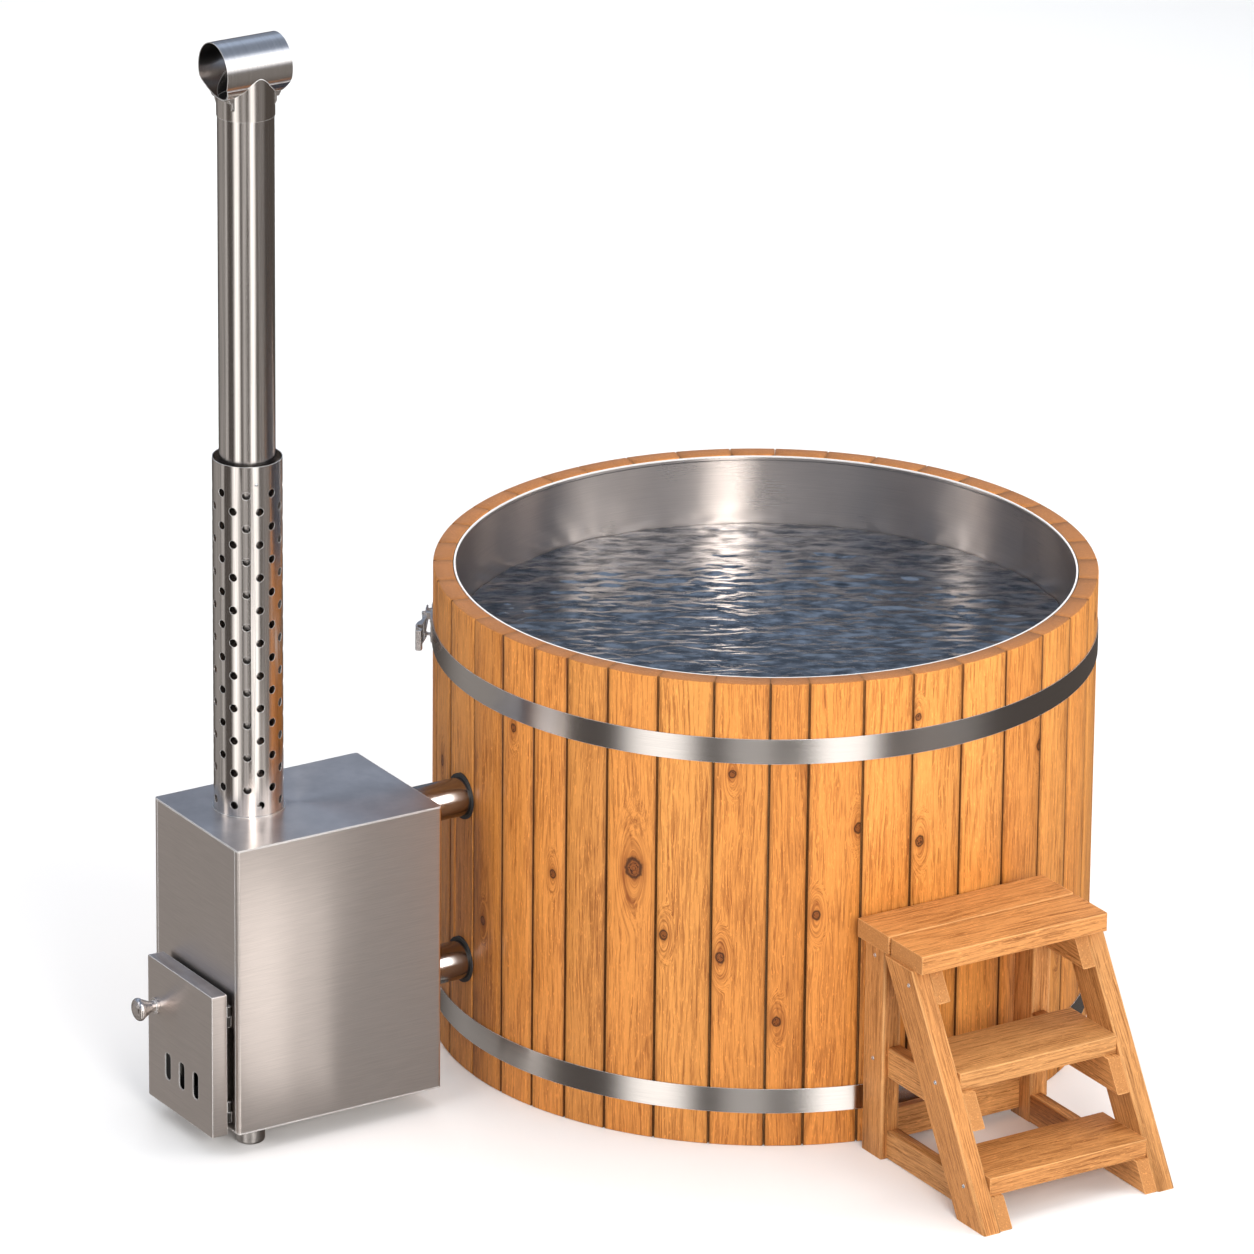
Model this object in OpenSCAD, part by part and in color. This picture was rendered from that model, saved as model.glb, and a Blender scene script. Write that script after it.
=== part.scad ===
// Round wooden soaking tub with an outside wood-fired heater, a guarded chimney and loose steps.
// The tub's axis stands on the floor at the origin. The heater is on the -X side, the steps on -Y.

/* [Tub] */
// Outside diameter of the stave wall
tub_d = 1600; // [1500:10:1800]
// Height of the staves
tub_h = 1176; // [1140:2:1240]
// Thickness of a stave
stave_t = 47; // [42:1:54]
// Gap between two neighbouring staves
stave_gap = 1; // [0.6:0.1:1.4]
// Half width of the open groove outside each joint
groove_half = 2.2; // [1.6:0.1:3]
// Depth of that groove
groove_deep = 9; // [6:0.5:12]
// Chamfer on each long outer edge of a stave
groove_edge = 2.8; // [1:0.2:4]
// Rounding of the stave ends
stave_edge = 4; // [2:0.5:6]
// Thickness of the floor boards
floor_t = 38; // [30:1:42]
// Height of the floor boards' underside
floor_z = 98; // [90:1:110]
// Depth of the groove that the floor sits in
croze_d = 12; // [8:1:16]
// Width of one floor board
board_w = 118; // [100:2:130]
// Gap between floor boards
board_gap = 2; // [1:0.5:4]
// Width of one bearer under the floor
bearer_w = 90; // [70:5:110]
// Distance between bearers
bearer_pitch = 460; // [400:10:500]

/* [Liner and bench] */
// Sheet thickness of the steel liner
liner_t = 3; // [2:0.5:4]
// Gap between the liner and the staves
liner_gap = 2.4; // [1.5:0.1:3]
// How far the liner's edge lies below the stave tops
liner_drop = 2; // [1:0.5:4]
// Height of the hemmed edge of the liner
hem_h = 9; // [6:1:14]
// Height of the bench above the liner's floor
bench_h = 410; // [380:5:440]
// Depth of the bench seat
bench_w = 330; // [300:5:350]
// Thickness of the bench boards
bench_t = 32; // [26:1:38]
// Width of a bench leg
bench_leg_w = 60; // [50:2:80]
// Thickness of a bench leg
bench_leg_t = 34; // [28:1:45]

/* [Hoops] */
// Height of a hoop band
hoop_h = 62; // [56:1:66]
// Thickness of a hoop band
hoop_t = 2.5; // [2:0.1:3.5]
// Distance of the upper hoop's middle below the stave tops
hoop_drop = 168; // [140:2:216]
// Height of the lower hoop's middle
hoop_lower_z = 117; // [110:1:120]
// Open length between the ends of a hoop
hoop_gap = 24; // [18:1:30]
// Direction of the latches round the tub
latch_turn = 145; // [140:1:150]

/* [Hoop latch] */
// Thickness of the plates on the hoop
plate_t = 3; // [2.5:0.1:3.5]
// Length of the lever's base plate
base_len = 74; // [68:1:84]
// Length of the keeper's plate
keeper_len = 40; // [34:1:46]
// Distance of the lever's pivot from the middle of the opening
pivot_run = 32; // [28:1:36]
// Height of the lever's pivot over the hoop
pivot_rise = 17; // [16:0.5:18]
// Distance from the lever's pivot to the bail's pivot
crank = 24; // [22:0.5:27]
// Height of the bail's pivot over the hoop
bail_rise = 15; // [13.5:0.5:15]
// Radius of the latch pins
latch_pin_r = 3; // [2.5:0.1:3.2]
// Radius of the bail's rod
bail_r = 2.5; // [2:0.1:2.6]
// Length of the lever past the bail's pivot
lever_len = 88; // [80:1:100]
// Sheet thickness of the lever
lever_t = 3; // [2.5:0.1:3.2]

/* [Circulation pipes] */
// Radius of a pipe
pipe_r = 47; // [42:1:50]
// Wall of a pipe
pipe_t = 2.5; // [2:0.1:3.5]
// Height of the upper pipe
pipe_upper_z = 706; // [680:2:715]
// Height of the lower pipe
pipe_lower_z = 283; // [270:1:300]
// Place of both pipes across the heater
pipe_y = 86; // [75:1:97]
// Width of the sealing ring's wall round a pipe
ring_w = 9; // [7:0.5:12]
// How far a sealing ring stands out from the staves
ring_h = 7; // [5:0.5:10]

/* [Drain] */
// Height of the drain
drain_z = 186; // [182:1:196]
// Outside radius of the drain thread
thread_r = 13.2; // [12:0.1:14]
// Bore radius of the drain
drain_bore_r = 9; // [8:0.1:9.5]
// Radius of the ball
ball_r = 13.5; // [13:0.1:14]
// Radius of the valve body
valve_r = 21; // [20:0.5:24]
// Length of the valve body
valve_len = 62; // [58:1:70]
// Length of the valve lever
valve_lever_len = 92; // [80:1:110]

/* [Stove] */
// Length of the stove along the pipes
stove_l = 556; // [540:2:600]
// Width of the stove
stove_w = 396; // [390:2:430]
// Height of the stove's box
stove_h = 725; // [715:1:760]
// Clear height under the box
foot_h = 54; // [40:1:60]
// Distance from the tub's axis to the stove's back
stove_back = 965; // [940:5:1000]
// Place of the stove's middle line across the pipes
stove_y = 100; // [96:1:104]
// Sheet thickness of the stove
sheet_t = 3; // [2:0.5:4]
// Corner radius of the bent sheets
bend_r = 7; // [5:0.5:9]
// Width of the side sheet's fold at the front
fold_w = 14; // [12:1:18]
// Height of the top plate's turned edge
lip_h = 9; // [7:1:12]
// Radius of a foot
foot_r = 35; // [30:1:38]
// Distance from the stove's sides to a front foot's middle
foot_inset = 72; // [60:1:80]
// Gap between firebox and side sheet, filled by water
jacket_w = 46; // [40:1:55]
// Plate thickness of the firebox
fire_t = 4; // [3:0.5:6]
// Height of the firebox
fire_h = 470; // [430:5:500]
// Height of the grate over the firebox's floor
grate_rise = 84; // [75:1:95]

/* [Door] */
// Width of the door
door_w = 306; // [300:1:312]
// Height of the door
door_h = 361; // [350:1:370]
// Depth of the door's pan
door_t = 40; // [36:1:42]
// Gap between door and stove
door_gap = 12; // [11:0.5:13]
// Height of the door's lower edge above the floor
door_z = 45; // [40:1:50]
// Distance from the stove's near side to the door's hinge edge
door_inset = 34; // [30:1:38]
// Width of an air slot
slot_w = 26; // [20:1:30]
// Height of an air slot
slot_h = 68; // [50:1:76]
// Distance between air slots
slot_pitch = 66; // [58:1:70]
// Height of the air slots' middle above the door's lower edge
slot_rise = 106; // [95:1:115]
// Radius of the knob's head
knob_r = 28; // [24:0.5:30]
// Distance from the door's face to the widest place of the knob
knob_out = 48; // [44:1:54]
// Place of the knob from the door's free edge
knob_inset = 40; // [38:0.5:43]
// Height of the knob above the door's lower edge
knob_rise = 244; // [230:1:250]
// Outside radius of the hinge knuckles
knuckle_r = 5; // [4.5:0.1:5.2]
// Radius of the hinge pins
hinge_pin_r = 3; // [2.5:0.1:3.2]

/* [Chimney] */
// Place of the chimney from the stove's front
flue_run = 165; // [150:1:180]
// Place of the chimney across the stove, from its middle line
flue_y = 37; // [0:1:45]
// Radius of the flue pipe
flue_r = 66.5; // [64:0.5:70]
// Wall of the flue pipe
flue_t = 1.5; // [1.2:0.1:2]
// Height of the flue above the stove's top
flue_h = 1758; // [1700:5:1800]
// Height of the guard above the stove's top
guard_h = 878; // [850:2:900]
// Radius of the guard
guard_r = 82.5; // [80:0.5:86]
// Wall of the guard
guard_t = 1.6; // [1.2:0.1:2]
// Radius of a hole in the guard
hole_r = 10; // [7:0.5:11]
// Distance between the holes of one column
hole_pitch = 82; // [80:0.5:84]
// Number of columns of holes round the guard, a multiple of four
hole_columns = 16; // [12:4:16]
// Number of holes in a column
hole_rows = 10; // [6:1:10]
// Length of the cowl
cowl_l = 172; // [165:1:185]
// Radius of the cowl
cowl_r = 69; // [69:0.5:73]

/* [Steps] */
// Place of the steps along the tub
steps_x = 11; // [0:1:30]
// Width over the stringers
steps_w = 539; // [520:1:560]
// Height of the top tread
top_z = 596; // [580:1:610]
// Height of the middle tread
middle_z = 332; // [325:1:345]
// Height of the bottom tread
bottom_z = 117; // [112:1:125]
// Thickness of the treads
tread_t = 46; // [38:1:48]
// Depth of the top tread
top_depth = 280; // [270:1:290]
// Depth of the middle tread
middle_depth = 200; // [180:1:210]
// Depth of the bottom tread
bottom_depth = 190; // [170:1:200]
// Overhang of the top tread past the frame at each end
top_trim = 8; // [4:1:12]
// Gap between the two boards of the top tread
top_gap = 5; // [4:0.5:9]
// Thickness of the stringers
stringer_t = 48; // [42:1:52]
// Depth of the stringers, measured level
stringer_depth = 120; // [110:1:124]
// How far the stringers lean out between top and floor
stringer_run = 325; // [310:1:340]
// Thickness of the rails under the treads
rail_t = 34; // [28:1:40]
// Height of the rails
rail_h = 78; // [60:1:82]
// Thickness of the rear posts
post_t = 50; // [44:1:54]
// Depth of the rear posts
post_depth = 85; // [75:1:90]
// Rounding of the wooden edges
wood_r = 6; // [3:0.5:7]

/* [Hidden] */
$fn = 64;
// Facets of the curves that follow the tub's wall, for the preview
wall_fn = 720;

wood = [0.78, 0.47, 0.22];
wood_pale = [0.85, 0.58, 0.36];
steel = [0.66, 0.64, 0.62];
steel_dark = [0.45, 0.44, 0.43];
brass = [0.72, 0.58, 0.3];
rubber = [0.12, 0.12, 0.12];

// Overrun of every cut, rest gap between pieces, running fit of pins, and gap beside moving plates
cut = 1;
rest_gap = 0.3;
fit = 0.05;
side_gap = 0.5;

// Tub
tub_r = tub_d / 2;
hoop_upper_z = tub_h - hoop_drop;
stave_in = tub_r - stave_t;
floor_r = stave_in + croze_d - side_gap;
croze_z = floor_z - rest_gap;
croze_w = floor_t + 2 * rest_gap;
board_pitch = board_w + board_gap;
board_count = 2 * ceil(floor_r / board_pitch);
bearer_count = 3;
bearer_clear = 8;
stave_turn = 167.95;
hole_spread = arc_deg(pipe_r + 4 * side_gap, stave_in);
// Widths of the staves in order round the tub, as shares of a full one
stave_shares = [
  0.98, 0.90, 0.80, 0.74, 0.82, 0.93, 0.98, 0.96, 0.67, 0.95, 0.90, 0.98, 0.99, 1.0, 0.98, 0.98,
  1.0, 0.97, 0.92, 1.0, 0.96, 0.88, 0.99, 0.94, 1.0, 0.9, 0.97, 0.82, 1.0, 0.95, 0.99, 0.86,
  0.98, 1.0, 0.93, 0.97, 0.88, 1.0, 0.99
];
stave_count = len(stave_shares);
share_total = share_sum(stave_count);

// Liner and bench
liner_r = stave_in - liner_gap;
liner_in = liner_r - liner_t;
liner_z = floor_z + floor_t + rest_gap;
liner_floor = liner_z + liner_t;
liner_top = tub_h - liner_drop;
bench_clear = 8;
bench_top = liner_floor + bench_h;
bench_r = liner_in - bench_clear;
bench_boards = 5;
bench_start = 20;
bench_sweep = 140;
bench_slit = 4;
bench_leg_inset = 46;

// Hoops and latches: x points out from the tub, y runs along the hoop
hoop_in = tub_r + rest_gap;
hoop_r = hoop_in + hoop_t;
plate_h = hoop_h - 8 * side_gap;
ear_t = 3;
ear_out = plate_h / 2;
ear_r = 7;
lever_half = ear_out - ear_t - side_gap;
bail_half = lever_half - lever_t - bail_r - 4 * side_gap;
bail_run = pivot_run + crank;
hook_run = 38;
bail_len = bail_run + hook_run;
bail_eye_r = 2 * bail_r;
keeper_gap = hoop_gap / 2;
hook_t = 4;
hook_h = 17;
hook_half = bail_half - bail_r - 2 * side_gap;
hook_slack = 1.5;
hook_y = bail_run - bail_len + bail_r + hook_t + hook_slack;
lever_start = 17;
lever_bow = 13;
lever_curl = 8;
rivet_r = 2.5;
rivet_head_r = 4.5;
rivet_head_h = 1.6;
// Rivets on the base plate and on the keeper: along the hoop from its end, and up, as shares
base_rivet_shares = [[0.72, 0.3], [0.72, -0.3]];
keeper_rivet_shares = [[0.22, 0.3], [0.22, -0.3]];

// Circulation pipes
pipe_in = pipe_r - pipe_t;
ring_in = pipe_r + rest_gap;
ring_r = ring_in + ring_w;
pipe_hole = pipe_r + 1.5 * side_gap;
pipe_nose = 14;
pipe_wall_x = sqrt(tub_r * tub_r - pipe_y * pipe_y);
pipe_liner_x = sqrt(liner_in * liner_in - pipe_y * pipe_y);
pipe_end = pipe_liner_x - pipe_nose;
pipe_socket = 18;
flange_w = 16;

// Drain at the back of the tub, along +Y
drain_flange_r = 27;
drain_flange_h = 5;
drain_nose = 3;
drain_seat_y = sqrt(liner_in * liner_in - drain_flange_r * drain_flange_r) - rest_gap;
valve_stand = 22;
valve_y = tub_r + valve_stand;
valve_mid = valve_y + valve_len / 2;
valve_neck_r = 17;
hex_r = 22;
hex_l = 13;
ball_gap = 0.4;
stem_r = 5;
stem_tip = 4;
bonnet_r = 10;
bonnet_h = 13;
valve_lever_w = 20;
valve_lever_t = 3;
outlet_len = 34;
outlet_thread = 18;
outlet_sink = 8;

// Stove
stove_front = stove_back + stove_l;
stove_side = stove_y - stove_w / 2;
stove_top = foot_h + stove_h;
panel_gap = 0.8;
front_x = -stove_front;
fire_front = -stove_front + sheet_t;
fire_x = -(stove_back + jacket_w);
fire_w = stove_w - 2 * jacket_w;
fire_z = foot_h + jacket_w / 2;
grate_t = 10;
grate_slot = 12;
grate_bar = 12;
grate_edge = 22;
grate_gap = 3;
ledge = 12;
foot_round = 9;

// Door
door_y = stove_side + door_inset;
door_back = -stove_front - door_gap;
door_face = door_back - door_t;
door_edge = 3;
door_fold = 10;
hinge_x = front_x - door_gap / 2;
hinge_inset = 2;
hinge_y = door_y + hinge_inset;
knuckle_h = 26;
knuckle_gap = 0.4;
leaf_w = 24;
leaf_t = 1.4;
// Heights of the two hinges, as shares of the door's height
hinge_shares = [0.16, 0.84];
open_near = 44;
open_far = 92;
open_low = 42;
open_high = 46;
open_w = door_w - open_near - open_far;
open_h = door_h - open_low - open_high;
seal_w = 11;
seal_out = 3;
knob_y = door_y + door_w - knob_inset;
knob_z = door_z + knob_rise;
waist_r = 13;
waist_out = 17;
knob_round = 9;
knob_dome = 2;
collar_r = 20;
collar_h = 7;
spindle_r = 5;
tongue_l = 20;
tongue_w = 12;
tongue_t = 4;
catch_t = 3;
catch_h = 30;
catch_run = 20;
catch_lip = 12;

// Chimney
flue_x = front_x + flue_run;
flue_mid = stove_y + flue_y;
flue_in = flue_r - flue_t;
flue_split = 640;
flue_socket = 45;
flue_top = stove_top + flue_h;
riser_h = 60;
collar_w = 4;
collar_lift = 4;
guard_in = guard_r - guard_t;
guard_lift = 3;
guard_first = 28;
spacer_w = 16;
spacer_h = 24;
spacer_turn = -105;
spacer_count = 3;
spacer_drop = 50;
cowl_t = 1.5;
cowl_lift = 6;
cowl_z = flue_top + cowl_r + cowl_lift;
neck_lap = 40;
neck_t = 1.5;
saddle_t = 1.5;
saddle_drop = 32;
// Half width of the flare under the cowl, as a share of the cowl's radius
flare_share = 0.62;
// Where the cowl's lower corners are cut off: along the cowl and up its side, as shares
cowl_cut_run_share = 0.32;
cowl_cut_rise_share = 0.66;

// Steps
steps_back = -(hoop_r + side_gap);
stringer_in = steps_w / 2 - stringer_t;
stringer_top = top_z - tread_t;
stringer_lean = atan(stringer_run / stringer_top);
top_overhang = 32;
floor_nose_y = steps_back - top_depth + top_overhang - stringer_run;
rail_in = stringer_in - rail_t;
post_out = rail_in + post_t;
tread_half = stringer_in;
top_half = steps_w / 2 - top_trim;
middle_nose = 12;
bottom_nose = 20;
post_front = steps_back - post_depth;
tenon_t = 14;
tenon_l = 30;
tenon_h_share = 0.6;
cleat_back = 4;
screw_r = 5.5;
screw_h = 1.6;
screw_in = 36;
rear_rail_z = 22;
rear_rail_t = 30;

function share_sum(i) = i <= 0 ? 0 : stave_shares[i - 1] + share_sum(i - 1);
function stave_angle(i) = stave_turn + 360 * share_sum(i) / share_total;
// Whether the pipes at the heater's side or the drain at the back cross a stave between two angles
function meets_hole(from, to) =
  len([for (at = [180 - asin(pipe_y / tub_r), 90, 450, 540 - asin(pipe_y / tub_r)])
    if (at + hole_spread > from && at - hole_spread < to) at]) > 0;
function arc_deg(length, radius) = length / radius * 180 / PI;
function rail_top(i) = [stringer_top, middle_z - tread_t, bottom_z - tread_t][i];
function rail_low(i) = i == 2 ? rest_gap : rail_top(i) - rail_h;
function stringer_face(z) = floor_nose_y + stringer_run * z / stringer_top;

// Shared shapes
module tube(outer, inner, h) {
  difference() {
    cylinder(r = outer, h = h);
    translate([0, 0, -cut]) cylinder(r = inner, h = h + 2 * cut);
  }
}

module along_x() {
  rotate([0, 90, 0]) children();
}

module along_y() {
  rotate([-90, 0, 0]) children();
}

// A rectangle with round corners, its low corner at the origin
module round_rect(w, h, r) {
  translate([r, 0]) square([w - 2 * r, h]);
  translate([0, r]) square([w, h - 2 * r]);
  for (x = [r, w - r], y = [r, h - r]) translate([x, y]) circle(r = r);
}

// A board along X with all its long and end edges rounded
module board(l, d, t) {
  intersection() {
    rotate([90, 0, 90]) linear_extrude(height = l) round_rect(d, t, wood_r);
    linear_extrude(height = t) round_rect(l, d, wood_r);
  }
}

// A band round the tub between two places along the hoop
module band(from, to, inner, thick, low, high) {
  rotate([0, 0, arc_deg(from, inner)])
    rotate_extrude(angle = arc_deg(to - from, inner))
      translate([inner, low]) square([thick, high - low]);
}

module at_latch(z) {
  rotate([0, 0, latch_turn]) translate([0, 0, z]) children();
}

module both_latches() {
  at_latch(hoop_upper_z) children();
  at_latch(hoop_lower_z) children();
}

// The holes through the tub wall for the two pipes and the drain
module wall_holes(clear) {
  for (z = [pipe_lower_z, pipe_upper_z])
    translate([-tub_r - cut, pipe_y, z]) along_x() cylinder(r = pipe_r + clear, h = tub_r / 2);
  translate([0, tub_r / 2, drain_z]) along_y() cylinder(r = thread_r + clear, h = tub_r);
}

// Tub
module stave_profile() {
  polygon([
    [stave_in, 0], [stave_in, croze_z], [stave_in + croze_d, croze_z],
    [stave_in + croze_d, croze_z + croze_w], [stave_in, croze_z + croze_w],
    [stave_in, tub_h - stave_edge / 2], [stave_in + stave_edge / 2, tub_h],
    [tub_r - stave_edge, tub_h], [tub_r - stave_edge / 3, tub_h - stave_edge / 3],
    [tub_r, tub_h - stave_edge], [tub_r, stave_edge / 2], [tub_r - stave_edge / 2, 0]
  ]);
}

module joint_groove() {
  translate([0, 0, -cut]) linear_extrude(height = tub_h + 2 * cut) polygon([
    [tub_r + cut, -groove_half - groove_edge - cut], [tub_r - groove_edge, -groove_half],
    [tub_r - groove_deep, -groove_half], [tub_r - groove_deep, groove_half],
    [tub_r - groove_edge, groove_half], [tub_r + cut, groove_half + groove_edge + cut]
  ]);
}

module staves() {
  half_slit = arc_deg(stave_gap / 2, tub_r);
  color(wood) for (i = [0 : stave_count - 1]) {
    from = stave_angle(i);
    to = stave_angle(i + 1);
    difference() {
      rotate([0, 0, from + half_slit]) rotate_extrude(angle = to - from - 2 * half_slit, $fn = wall_fn)
        stave_profile();
      rotate([0, 0, from]) joint_groove();
      rotate([0, 0, to]) joint_groove();
      if (meets_hole(from, to)) wall_holes(2 * side_gap);
    }
  }
}

module floor_boards() {
  color(wood_pale) for (i = [0 : board_count - 1]) {
    low = (i - board_count / 2) * board_pitch;
    intersection() {
      translate([0, 0, floor_z]) cylinder(r = floor_r, h = floor_t);
      translate([-tub_r, low + board_gap / 2, floor_z - cut]) cube([tub_d, board_w, floor_t + 2 * cut]);
    }
  }
}

module bearers() {
  reach = stave_in - bearer_clear;
  color(wood_pale) for (i = [0 : bearer_count - 1]) {
    x = (i - (bearer_count - 1) / 2) * bearer_pitch;
    half = sqrt(reach * reach - pow(abs(x) + bearer_w / 2, 2));
    translate([x - bearer_w / 2, -half, 0]) cube([bearer_w, 2 * half, floor_z]);
  }
}

module liner() {
  color(steel) difference() {
    rotate_extrude() polygon([
      [0, liner_z], [liner_r, liner_z], [liner_r, liner_top], [liner_in - liner_t / 2, liner_top],
      [liner_in - liner_t / 2, liner_top - hem_h], [liner_in, liner_top - hem_h - liner_t],
      [liner_in, liner_floor], [0, liner_floor]
    ]);
    wall_holes(2 * side_gap);
  }
}

module bench_sector(from, to) {
  rotate([0, 0, from]) rotate_extrude(angle = to - from)
    translate([bench_r - bench_w, 0]) square([bench_w, bench_t]);
}

module bench_seat() {
  step = bench_sweep / bench_boards;
  slit = arc_deg(bench_slit / 2, bench_r - bench_w / 2);
  color(wood_pale) translate([0, 0, bench_top - bench_t]) for (i = [0 : bench_boards - 1])
    bench_sector(bench_start + i * step + slit, bench_start + (i + 1) * step - slit);
}

module bench_legs() {
  step = bench_sweep / bench_boards;
  rows = [bench_r - bench_w + bench_leg_inset, bench_r - bench_leg_inset];
  color(wood_pale) for (i = [0 : bench_boards], r = rows)
    rotate([0, 0, bench_start + i * step])
      translate([r - bench_leg_t / 2, -bench_leg_w * (i == 0 ? 0 : i == bench_boards ? 1 : 0.5), liner_floor])
        cube([bench_leg_t, bench_leg_w, bench_h - bench_t]);
}

// Hoops and their latches
module hoop(z) {
  turn = arc_deg(hoop_gap, hoop_r);
  color(steel_dark) difference() {
    rotate([0, 0, latch_turn + turn / 2]) rotate_extrude(angle = 360 - turn)
      translate([hoop_in, z - hoop_h / 2]) square([hoop_t, hoop_h]);
    at_latch(z) rivets(rivet_r, 0);
  }
}

module upper_hoop() { hoop(hoop_upper_z); }
module lower_hoop() { hoop(hoop_lower_z); }

module rivet(y, z, r, head) {
  rotate([0, 0, arc_deg(y, hoop_r)]) translate([hoop_in, 0, z]) along_x() {
    cylinder(r = r, h = hoop_t + plate_t + head);
    if (head > 0) translate([0, 0, hoop_t + plate_t]) cylinder(r1 = rivet_head_r, r2 = rivet_r, h = head);
  }
}

module rivets(r, head) {
  for (s = base_rivet_shares) rivet(keeper_gap + s[0] * base_len, s[1] * hoop_h, r, head);
  for (s = keeper_rivet_shares) rivet(-keeper_gap - (1 - s[0]) * keeper_len, s[1] * hoop_h, r, head);
}

module hoop_rivets() {
  color(steel) both_latches() rivets(rivet_r, rivet_head_h);
}

module latch_base() {
  difference() {
    union() {
      band(keeper_gap, keeper_gap + base_len, hoop_r, plate_t, -plate_h / 2, plate_h / 2);
      for (side = [0, 1]) mirror([0, 0, side]) translate([0, 0, ear_out - ear_t]) {
        translate([hoop_r + plate_t / 2, pivot_run - ear_r, 0])
          cube([pivot_rise - plate_t / 2, 2 * ear_r, ear_t]);
        translate([hoop_r + pivot_rise, pivot_run, 0]) cylinder(r = ear_r, h = ear_t);
      }
    }
    translate([hoop_r + pivot_rise, pivot_run, -plate_h]) cylinder(r = latch_pin_r, h = 2 * plate_h);
    rivets(rivet_r, 0);
  }
}

module latch_bases() {
  color(steel) both_latches() latch_base();
}

// The keeper's hook stands up from its plate, and the bail's cross rod lies behind it
module latch_keeper() {
  difference() {
    union() {
      band(-keeper_gap - keeper_len, -keeper_gap, hoop_r, plate_t, -plate_h / 2, plate_h / 2);
      translate([hoop_r + plate_t / 2, hook_y - hook_t, -hook_half])
        cube([hook_h - plate_t / 2, hook_t, 2 * hook_half]);
      translate([hoop_r + hook_h, hook_y - hook_t / 2, -hook_half])
        cylinder(r = hook_t / 2, h = 2 * hook_half);
    }
    rivets(rivet_r, 0);
  }
}

module latch_keepers() {
  color(steel) both_latches() latch_keeper();
}

module lever_pins() {
  color(steel_dark) both_latches() for (side = [0, 1]) mirror([0, 0, side])
    translate([hoop_r + pivot_rise, pivot_run, lever_half - lever_t])
      cylinder(r = latch_pin_r, h = ear_out - lever_half + lever_t + rivet_head_h);
}

// The lever's two cheeks carry the bail, and its bowed handle begins past the bail's swing
module latch_lever() {
  start = bail_run + lever_start;
  tip = bail_run + lever_len;
  mid = (start + tip) / 2;
  high = hoop_r + pivot_rise + lever_t;
  difference() {
    union() {
      for (side = [0, 1]) mirror([0, 0, side]) translate([0, 0, lever_half - lever_t])
        linear_extrude(height = lever_t) {
          translate([hoop_r + pivot_rise, pivot_run]) circle(r = ear_r - side_gap);
          polygon([
            [hoop_r + pivot_rise + ear_r - side_gap, pivot_run],
            [hoop_r + pivot_rise - ear_r / 2, pivot_run - ear_r / 2],
            [hoop_r + bail_rise - bail_eye_r, bail_run - bail_eye_r / 2],
            [hoop_r + bail_rise - bail_eye_r, bail_run + bail_eye_r],
            [high - lever_t, mid], [high + lever_bow, mid], [high, start - lever_t]
          ]);
        }
      translate([0, 0, -lever_half]) linear_extrude(height = 2 * lever_half) polygon([
        [high - lever_t, start], [high, start], [high + lever_bow * 0.7, (start + mid) / 2],
        [high + lever_bow, mid], [high + lever_bow * 0.75, (mid + tip) / 2], [high, tip - lever_curl],
        [high - lever_t / 2, tip], [high + lever_curl, tip + lever_curl / 2],
        [high + lever_curl + lever_t, tip + lever_curl / 2 - lever_t],
        [high + lever_curl, tip + lever_curl], [high - lever_t, tip + lever_curl],
        [high - 2 * lever_t, tip - lever_curl / 2], [high - 1.5 * lever_t, tip - lever_curl],
        [high + lever_bow * 0.75 - lever_t, (mid + tip) / 2], [high + lever_bow - lever_t, mid],
        [high + lever_bow * 0.7 - lever_t, (start + mid) / 2]
      ]);
    }
    translate([hoop_r + pivot_rise, pivot_run, -plate_h]) cylinder(r = latch_pin_r + fit, h = 2 * plate_h);
    translate([hoop_r + bail_rise, bail_run, -plate_h]) cylinder(r = latch_pin_r, h = 2 * plate_h);
  }
}

module upper_lever() { color(steel) at_latch(hoop_upper_z) latch_lever(); }
module lower_lever() { color(steel) at_latch(hoop_lower_z) latch_lever(); }

// The bail is one bent rod: two eyes, two arms and a cross rod behind the keeper's hook
module latch_bail() {
  difference() {
    union() {
      for (side = [-1, 1]) translate([hoop_r + bail_rise, bail_run, side * bail_half]) {
        translate([0, 0, -bail_r]) cylinder(r = bail_eye_r, h = 2 * bail_r);
        rotate([90, 0, 0]) cylinder(r = bail_r, h = bail_len);
        translate([0, -bail_len, 0]) sphere(r = bail_r);
      }
      translate([hoop_r + bail_rise, bail_run - bail_len, -bail_half]) cylinder(r = bail_r, h = 2 * bail_half);
    }
    translate([hoop_r + bail_rise, bail_run, -plate_h]) cylinder(r = latch_pin_r + fit, h = 2 * plate_h);
  }
}

module upper_bail() { color(steel) at_latch(hoop_upper_z) latch_bail(); }
module lower_bail() { color(steel) at_latch(hoop_lower_z) latch_bail(); }

module bail_pin() {
  translate([hoop_r + bail_rise, bail_run, -lever_half]) cylinder(r = latch_pin_r, h = 2 * lever_half);
}

module upper_bail_pin() { color(steel_dark) at_latch(hoop_upper_z) bail_pin(); }
module lower_bail_pin() { color(steel_dark) at_latch(hoop_lower_z) bail_pin(); }

// Circulation pipes
module pipe(z) {
  from = -stove_back - pipe_socket;
  color(steel) translate([from, pipe_y, z]) along_x() tube(pipe_r, pipe_in, -pipe_end - from);
}

module upper_pipe() { pipe(pipe_upper_z); }
module lower_pipe() { pipe(pipe_lower_z); }

module pipe_rings() {
  color(rubber) for (z = [pipe_lower_z, pipe_upper_z]) difference() {
    translate([-pipe_wall_x - ring_h, pipe_y, z]) along_x() tube(ring_r, ring_in, 3 * ring_h);
    cylinder(r = tub_r + rest_gap, h = tub_h, $fn = wall_fn);
  }
}

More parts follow.
